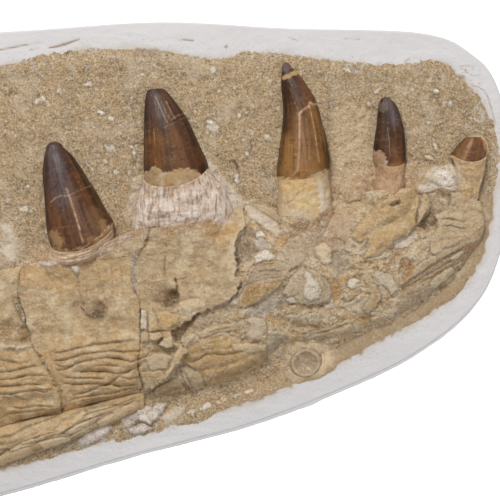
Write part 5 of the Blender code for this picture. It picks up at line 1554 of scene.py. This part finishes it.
def enamel_finish():
    """Fossil enamel: deep brown with streaks and fine lines up the crown, and faint rings round it."""
    material, shader, place, tint = new_material("tooth_enamel", 0.4, Specular_IOR_Level=0.24)
    gloss = mark_of(place, "gloss")
    flow = place.node("Attribute", out="Vector", attribute_name="flow")
    streaks = flow.noise(2.0, 4.0, 0.65, (1, 0.09, 1))
    lines = flow.noise(0.42, 3.0, 0.65, (1, 0.05, 1))
    bands = flow.noise(1.0, 3.0, 0.6, (0.12, 1, 1))
    blotch = place.noise(1.6, 4.0, 0.65)
    dark, amber, sand = (0.016, 0.007, 0.004, 1), (0.34, 0.15, 0.05, 1), (0.16, 0.105, 0.06, 1)
    dust = (0.48, 0.36, 0.28, 1)
    mottle = place.noise(0.9, 6.0, 0.75)
    speck = place.node("SeparateColor", {"Color": place.grains(0.32)}, out=0)
    colour = tint.coats(
        (streaks, 0.5, 0.3, 0.5, dark, gloss),
        (streaks, 0.53, 0.74, 0.34, amber, gloss),
        (mottle, 0.5, 0.34, 0.45, dark, gloss),
        (mottle, 0.54, 0.72, 0.32, amber, gloss),
        (lines, 0.56, 0.74, 0.24, amber, gloss),
        (lines, 0.46, 0.3, 0.4, dark, gloss),
        (bands, 0.56, 0.72, 0.22, amber, gloss),
        (speck, 0.975, 0.995, 0.28, dust, gloss),
        (blotch, 0.5, 0.3, 0.5, sand, 1 - gloss),
    )
    relief = lines * 0.35 + streaks * 0.3 + bands * 0.15 + blotch * (1.2 - gloss) * 1.2
    finish_with(shader, colour, 0.86 - 0.46 * gloss + blotch.between(0.55, 0.8) * 0.2, relief, 0.10)
    return material


def tooth_rings(left, right, bulges, tip, count, around, depths=None, relief=0.0, seed=1.0):
    """Ovals from foot to tip between two edge lines, and how far along (0 to 1) and round each point lies.

    An oval's long axis joins the edges and its short axis stands upright, a share of the long one or read
    from depths spread along the tooth. On the seen side an oval bulges back along the tooth, by the foot's
    bulge and, with the square of the way along, the tip's. Past the last oval five more round it off.
    """
    a, b = curve(left, count), curve(right, count)
    middle, half = (a + b) / 2, np.linalg.norm(b - a, axis=1) / 2
    across = (b - a) / (2 * half[:, None])
    ahead = np.column_stack([-across[:, 1], across[:, 0]])
    along = np.linspace(0, 1, count)
    ease = np.linspace(0, math.pi / 2, 6)[1:]
    middle = np.vstack([middle, middle[-1] + ahead[-1] * tip * np.sin(ease)[:, None]])
    half = np.concatenate([half, np.repeat(half[-1:], 5)])
    closing = np.concatenate([np.ones(count), np.maximum(np.cos(ease), 0.03)])[:, None]
    across, ahead = (np.vstack([way, np.repeat(way[-1:], 5, 0)]) for way in (across, ahead))
    along = np.concatenate([along, 1 + 0.02 * ease])
    turn = np.linspace(0, 2 * math.pi, around, endpoint=False)
    round_it, up_it = np.cos(turn)[None] * 4 + 0 * along[:, None], 9 * along[:, None] + np.sin(turn)
    uneven = relief * rough(round_it, up_it, 2, seed, 3)
    full = half[:, None] * closing + uneven
    depth = CROWN_DEPTH_SHARE * full
    if depths is not None:
        depth = np.interp(along, np.linspace(0, 1, len(depths)), depths)[:, None] * closing + uneven
    fade = np.clip(1 - along, 0, 1)[:, None] ** 2
    back = (bulges[1] + (bulges[0] - bulges[1]) * fade) * np.clip(np.sin(turn), 0, 1)[None]
    x = middle[:, :1] + across[:, :1] * np.cos(turn) * full - ahead[:, :1] * back
    y = middle[:, 1:] + across[:, 1:] * np.cos(turn) * full - ahead[:, 1:] * back
    z = CROWN_AXIS_HEIGHT + CROWN_AXIS_RISE * along[:, None] + depth * np.sin(turn)
    return np.stack([x, y, z], -1), np.broadcast_to(along[:, None], x.shape), np.broadcast_to(turn, x.shape)


def crown(
    name, left, right, bulge, tip, colours, painted_sheen, foot, patches, cracks, node, dentine, washes_and_highlights=(),
    count=170, around=132,
):
    """An enamelled crown, coloured from tip to foot and to the right. Below the foot line it is dentine."""
    seed = float(sum(name.encode()) % 23)
    colours, dentine = [srgb(colour) for colour in colours], srgb(dentine)
    rings, along, turn = tooth_rings(left, right, (bulge, 0), tip, count, around, relief=0.10, seed=seed)
    x, y = rings[..., 0], rings[..., 1]
    side = np.cos(turn)
    streak = rough(side * 3, along * 1.2, 1, seed + 3, 4)
    worn = rough(x, y, 1.4, seed + 9, 3)
    rings[..., 2] -= 0.9 * np.exp(-along / 0.03) * (1 + 0.9 * worn) * np.sin(turn).clip(0)
    tint = paint(
        colours[1],
        (step(0.25, 0.85, along + 0.12 * streak), colours[0]),
        (step(0.15, 1.0, side + 0.2 * streak), colours[2]),
        # Painted highlight: the sheen, a band of its colour left of the crown's middle.
        (painted_sheen[0] * bell((side + 0.35) / 0.38) * step(0.1, 0.8, along), painted_sheen[1]),
        (0.4 * step(0.2, 0.9, streak), colours[1] * 0.6),
        # Painted shade: the crown darkened towards both edges, where it turns away.
        (0.85 * step(0.66, 0.98, np.abs(side + 0.08 * streak)), colours[0] * 0.4),
    )
    gloss = np.ones(x.shape)
    # Washes are stains of colour, and some of them are painted highlights.
    for line, reach, strength, colour in washes_and_highlights:
        near = follow(x, y, line)[0] * (1 + 0.35 * streak) / reach
        tint = paint(tint, (strength * bell(near), colour))
    for line, reach, strength, colour in patches:
        away = follow(x, y, line)[0] if len(line) > 1 else np.hypot(x - line[0][0], y - line[0][1])
        bare = strength * step(reach * 1.1, reach * 0.5, away + 0.3 * reach * worn)
        tint, gloss = paint(tint, (bare, colour)), gloss * (1 - bare)
    for line, width, strength in cracks:
        away, _, _ = follow(x, y, line)
        bare = strength * bell((away + 0.1 * worn) / width) * (0.6 + 0.5 * worn)
        tint = paint(tint, (bare, ENAMEL_CREAM))
        rings[..., 2] -= 0.12 * bare
    if foot is not None:
        away, above, _ = follow(x, y, foot)
        lost = step(-0.15, 0.15, -away * above + 0.3 * worn)
        stain = rough(x, y, 4, seed + 11, 3)
        tint = paint(
            tint, (lost, dentine), (0.7 * lost * step(0.0, 0.8, worn), dentine * 0.62),
            (0.7 * lost * step(0.1, 0.6, stain), 0xBAAC9A),
            (0.7 * lost * step(-0.1, -0.6, stain), dentine * 0.8),
            (0.8 * bell((away * above - 0.15) / 0.25) * step(-0.3, 0.6, worn), ENAMEL_CREAM),
        )
        gloss = gloss * (1 - lost)
        rings[..., 2] -= 0.25 * lost * np.sin(turn).clip(0)
    length, foot_half = (np.linalg.norm(end) for end in ((left[-1] - left[0]), (right[0] - left[0]) / 2))
    flow = np.stack([turn * foot_half, along * length, 0 * along + 7 * seed], -1) * MM
    make_piece(name, rings, enamel, "tooth_enamel", [node], tint=tint, gloss=gloss, flow=flow)


def back_carrier(x):
    """The length of bone that a back tooth at x grows from."""
    return "dentary_middle_rear" if x > FRACTURE_REAR_X else "dentary_rear"


def back_crown(number, x, width):
    """Edge lines of a back tooth from its foot, lean and width: full below, pointed by two powers."""
    t = number / (BACK_TEETH - 1)
    height, lean = (low + t * (high - low) for low, high in (BACK_CROWN_HEIGHT, BACK_CROWN_LEAN))
    height *= 1 + BACK_CROWN_VARIATION * math.sin(2.7 * number + 1)
    foot = np.array([x, float(margin(UPPER_MARGIN, x)) + BACK_FOOT_RAISE])
    chord = np.array([lean, height]) / math.hypot(lean, height)
    left_share = BROKEN_SHARE_LEFT if number == BROKEN_BACK_TOOTH else 0.985
    s = np.linspace(0, left_share, 24)
    half = np.maximum(width / 2 * (1 - s**1.5) ** 0.62, 0.9)
    middle = foot + np.column_stack([lean * s ** (1.5 + 0.5 * math.sin(1.9 * number)), height * s])
    across = np.array([chord[1], -chord[0]])
    return middle - across * half[:, None], middle + across * half[:, None]


enamel = enamel_finish()
for tooth in FRONT_CROWNS:
    edges = {key: spot(tooth[key]) for key in ("left", "right", "foot")}
    marks = {
        key: [(spot(line), *rest) for line, *rest in tooth[key]] for key in ("washes_and_highlights", "patches", "cracks")
    }
    carrier = "dentary_middle_front" if tooth["name"] == "tooth_1" else "dentary_front"
    crown(node=carrier, **{**tooth, **edges, **marks})
for k, (x, width) in enumerate(back_teeth()):
    left, right = back_crown(k, x, width)
    broken = k == BROKEN_BACK_TOOTH
    tip_patch = [(((left[-1] + right[-1]) / 2)[None], 9.0, 0.9, DENTINE)] if broken else []
    shade = 1 + 0.25 * math.sin(2.1 * k)
    # The pair after the crown's colours is its painted sheen, a painted highlight.
    crown(
        f"tooth_back_{k + 1}", left, right, 4.0, 1.2 if broken else 0.8,
        [srgb(0x4E382E) * shade, srgb(0x68442A) * shade, srgb(0x56341E) * shade], (0.45, 0x766462),
        None, tip_patch, [((left[3:20:4] + right[3:20:4]) / 2 + [0.6 * math.sin(k), 0], 0.16, 0.6)],
        back_carrier(x), DENTINE, (), 90, 84,
    )


# Roots: below its crown each tooth swells into a root of fibrous bone set in the socket's wall. The second
# one has weathered white and shows its fibres; the others are yellow, pink or tan.
ROOTS = [  # name, edges from socket to crown, bulges of both ends, colours light and deep, fibre, stains
    ("root_1", "47,262 49,254 51,247", "113,244 113,234 113,226", (4.4, 5.6), 0xCEB296, 0xB4906C, 0.3, []),
    # The second root's first stain, dark brown along 150,219 166,217, is a painted shadow under its lower
    # edge.
    ("root_2", "130,236 133,218 137,201 144.5,180", "236,226 231,204 223,184 207,167", (1.0, 5.6), 0xE0CEBE,
     0xB49072, 1.0, [("150,219 166,217", 0.7, 0.7, 0x70543A), ("194,202 206,195", 0.7, 0.5, 0x846A56),
     ("152,206 150,220", 0.6, 0.6, 0x8C7054), ("170,190 196,184", 1.4, 0.5, 0xC4A27C)]),
    ("root_3", "279,240 279,222 277.5,200 279,178", "336,232 334,214 331,194 328,170", (1.5, 2.5), 0xCBB18B,
     0xBA9664, 0.12, [("286,188 300,186 314,190", 2.6, 0.6, 0xD4AC64), ("296,204 318,206", 2.6, 0.6,
     0xD6B880), ("320,186 324,212", 1.7, 0.7, 0xD0C4B2), ("282,214 304,218", 2.0, 0.6, 0xCCBCA6),
     ("286,204 293,200 297,194 304,190", 0.3, 0.5, 0x846640), ("288,232 324,226", 3.6, 0.8, 0xA88464),
     ("279,184 280,210", 1.0, 0.7, 0xBAA07E)]),
    ("root_4", "368,206 372,190 375.5,176 376,161", "405,202 404.5,188 404.2,176 404.5,162", (1.5, 2.4),
     0xB69572, 0x9E7A58, 0.05, [("378,172 392,176", 1.6, 0.5, 0x926846)]),
    ("root_5", "460,208 459,192 456,174 452,155", "476,206 479,190 483,172 486,156", (1.5, 3.0), 0xCEB084,
     0xB69262, 0.35, [("474,174 470,192", 1.6, 0.5, 0xBC9862), ("455,168 458,186", 1.4, 0.7, 0xDACCB6)]),
]


def root_finish():
    """Root bone: streaked along the tooth with pale fibres and brown gaps between them, dull and rough."""
    material, shader, place, tint = new_material("root_bone", 0.8)
    fibre = mark_of(place, "fibre")
    strands = place.noise(0.6, 4.0, 0.65, (1, 0.13, 1))
    fine = place.noise(0.6, 4.0, 0.65)
    gap, pale = (0.30, 0.185, 0.105, 1), (0.78, 0.69, 0.60, 1)
    colour = tint.coats(
        (strands, 0.5, 0.34, 0.75, gap, fibre),
        (strands, 0.51, 0.66, 0.75, pale, fibre),
        (fine, 0.56, 0.7, 0.28, gap),
        (fine, 0.45, 0.3, 0.3, pale),
    )
    finish_with(shader, colour, None, strands * fibre * 1.6 + fine * 0.9, 0.5)
    return material


def root(name, left, right, bulges, light, deep, fibre, stains_and_shadows, node, count=80, around=180):
    """A root as the same ovals as a crown's, drawn out to threads at its lower edge, and striped lengthwise.

    Its face starts below the bone's, rises out of it, and ends as deep as the crown's foot.
    """
    seed = 31.0 + float(sum(name.encode()) % 17)
    low, high = (left[0] + right[0]) / 2, np.linalg.norm(left[-1] - right[-1]) / 2
    bone = crushed_bed if low[0] > 140 else sound_bone
    face = float(bone(low[0], low[1] - bulges[0])) - CROWN_AXIS_HEIGHT
    foot = CROWN_DEPTH_SHARE * high
    depths = (face - 2.5, face + 0.2, 0.5 * face + 0.5 * foot, 0.97 * foot)
    rings, along, turn = tooth_rings(left, right, bulges, 0.3, count, around, depths, 0.4, seed)
    x, y = rings[..., 0], rings[..., 1]
    threads = 0.7 * swell(np.cos(turn) * 30 + 0.4 * swell(x, y, 3, seed), along * 2.6, 1, seed + 2)
    threads += 0.8 * swell(np.cos(turn) * 62, along * 3.5, 1, seed + 3)
    lift = np.sin(turn).clip(0)
    rings[..., 2] += fibre * 0.35 * threads * lift - 1.6 * lift * np.exp(-along / 0.10)
    rings[..., 2] += 0.6 * rough(x, y, 4.5, seed + 6, 4, 0.6) * lift
    ends = swell(np.cos(turn) * 17, 0 * along, 1, seed + 4)
    rings[..., 1] -= 1.6 * fibre * ends * np.exp(-along / 0.12) * lift
    tint = paint(
        light,
        (0.75 * step(0.05, 0.6, -threads), deep),
        (0.45 * blotches(x, y, 5, seed + 5), deep),
        (0.4 * np.exp(-along / 0.08), 0x967A5E),
        (0.5 * step(0.8, 1.0, along), 0xAC8A62),
    )
    # Stains of colour; one of them is a painted shadow.
    for line, reach, strength, colour in stains_and_shadows:
        near = follow(x, y, spot(line))[0] * (1 + 0.5 * rough(x, y, 2.4, seed + 8, 3)) / reach
        tint = paint(tint, (strength * bell(near), colour))
    make_piece(name, rings, root_bone, "fossil_bone", [node], tint=tint, fibre=fibre)


BACK_ROOT_DEPTH = 7.0  # how far below the bone's rim a back root starts
root_bone = root_finish()
for name, left, right, *rest in ROOTS:
    carrier = "dentary_middle_front" if name == "root_1" else "dentary_front"
    root(name, spot(left), spot(right), *rest, carrier)
for k, (x, width) in enumerate(back_teeth()):
    rises = (-BACK_ROOT_DEPTH, BACK_FOOT_RAISE + 0.5)
    low, high = (np.array([x, float(margin(UPPER_MARGIN, x)) + rise]) for rise in rises)
    spread = [(low, 0.62 * width), ((low + high) / 2, 0.57 * width), (high, 0.505 * width)]
    left, right = (
        np.array([middle + [sign * half, -0.12 * sign * half] for middle, half in spread]) for sign in (-1, 1)
    )
    tone = 0.94 + 0.1 * math.sin(1.7 * k)
    root(
        f"root_back_{k + 1}", left, right, (2.4, 4.0), srgb(0xC4AC92) * tone, srgb(0xB08E6A) * tone, 0.5, (),
        back_carrier(x), 40, 96,
    )


# Fish backbone: one disc of a small fish's spine, dished on its face, with a raised rim. It lies in the stone
# below the jaw, and a lit crescent of its rim shows all round.
DISC_CENTRE = (158.8, -28.0)
DISC_RADIUS = 5.4
DISC_TOP = 46.0
DISC_PROFILE = path(  # shares of the radius and heights below the top
    "0.80,5 1.1,4.2 1.26,2.2 1.12,0.9 1.02,0.25 0.93,0 0.84,0.15 0.74,0.55 0.62,0.9 0.45,1.3 0.2,1.5 "
    "0.03,1.6"
)


def disc():
    """The profile turned round the disc's middle, with growth rings in the dish and a slightly uneven rim."""
    share, drop = np.array(DISC_PROFILE).T
    own = np.linspace(0, 1, len(share))
    fine = np.linspace(0, 1, 90)
    share, drop = np.interp(fine, own, share), np.interp(fine, own, drop)
    turn = np.linspace(0, 2 * math.pi, 128, endpoint=False)
    radius = DISC_RADIUS * share[:, None] * (1 + 0.03 * np.sin(2 * turn + 0.6) + 0.015 * np.sin(5 * turn))
    x, y = DISC_CENTRE[0] + radius * np.cos(turn), DISC_CENTRE[1] + radius * np.sin(turn)
    z = DISC_TOP - drop[:, None] + 0.08 * np.sin(share[:, None] * 46) * (share[:, None] < 0.8)
    z = z + 0.14 * rough(x, y, 2.2, 211, 3)
    rim = bell((share[:, None] - 0.94) / 0.1) + 0 * turn
    # Painted highlight: the rim is painted paler all round, for its lit crescent.
    tint = paint(
        0xAE9576, (0.8 * rim, 0xD2BC9A),
        (0.5 * blotches(x, y, 2.4, 213), 0xAC9474),
    )
    rings = np.stack([x, y, z], -1)
    make_piece("fish_backbone", rings, fossil_bone, "fish_bone", ["fish_vertebra"], tint=tint, crushed=0.3)


disc()


# Floor, soft studio light and the camera: it looks straight down at the photograph's middle, from far enough
# for the 200 mm that the photograph spans, and a broad lamp leans in from the tooth side.
VIEW_MIDDLE = (136.4, 17.2, 46.0)
VIEW_SPAN = 200.0
LENS, SENSOR = 100.0, 36.0
FLOOR_WHITE = (0.93, 0.93, 0.93, 1)
FLOOR_GLOW = 0.8  # the floor is a lit table, so that it stays white round the jacket


def lamp(name, place, aim, size, power, colour=(1, 1, 1)):
    """A square area lamp at a place in millimetres, turned to shine at another."""
    light = bpy.data.lights.new(name, "AREA")
    light.size = size * MM
    light.energy = power
    light.color = colour
    made = bpy.data.objects.new(name, light)
    made.location = [v * MM for v in place]
    away = (made.location - type(made.location)([v * MM for v in aim])).normalized()
    made.rotation_euler = away.to_track_quat("Z", "Y").to_euler()
    bpy.context.scene.collection.objects.link(made)
    return made


floor_material, floor_shader, _, _ = new_material("floor_white", 0.9)
floor_shader.inputs["Base Color"].default_value = FLOOR_WHITE
floor_shader.inputs["Emission Color"].default_value = FLOOR_WHITE
floor_shader.inputs["Emission Strength"].default_value = FLOOR_GLOW
floor_mesh = bpy.data.meshes.new("floor")
reach = 6.0  # metres to each side
corners = [(-reach, -reach, 0), (reach, -reach, 0), (reach, reach, 0), (-reach, reach, 0)]
floor_mesh.from_pydata(corners, [], [(0, 1, 2, 3)])
floor_mesh.materials.append(floor_material)
floor = bpy.data.objects.new("floor", floor_mesh)
floor.location = (0, 0, -0.0002)
bpy.context.scene.collection.objects.link(floor)

lamp("key_lamp", (-200, 900, 1050), (100, 0, 40), 420, 14.0, (1.0, 0.99, 0.97))
lamp("fill_lamp", (700, -500, 900), (100, 0, 40), 900, 2.8, (0.97, 0.98, 1.0))
world = bpy.data.worlds.new("studio")
bpy.context.scene.world = world
world.use_nodes = True
world.node_tree.nodes["Background"].inputs["Color"].default_value = (0.96, 0.97, 1.0, 1)
world.node_tree.nodes["Background"].inputs["Strength"].default_value = 0.38

camera = bpy.data.cameras.new("camera")
camera.lens = LENS
camera.sensor_width = SENSOR
eye = bpy.data.objects.new("camera", camera)
distance = VIEW_SPAN * LENS / SENSOR
eye.location = (VIEW_MIDDLE[0] * MM, VIEW_MIDDLE[1] * MM, (VIEW_MIDDLE[2] + distance) * MM)
bpy.context.scene.collection.objects.link(eye)
bpy.context.scene.camera = eye
bpy.context.scene.view_settings.view_transform = "Standard"
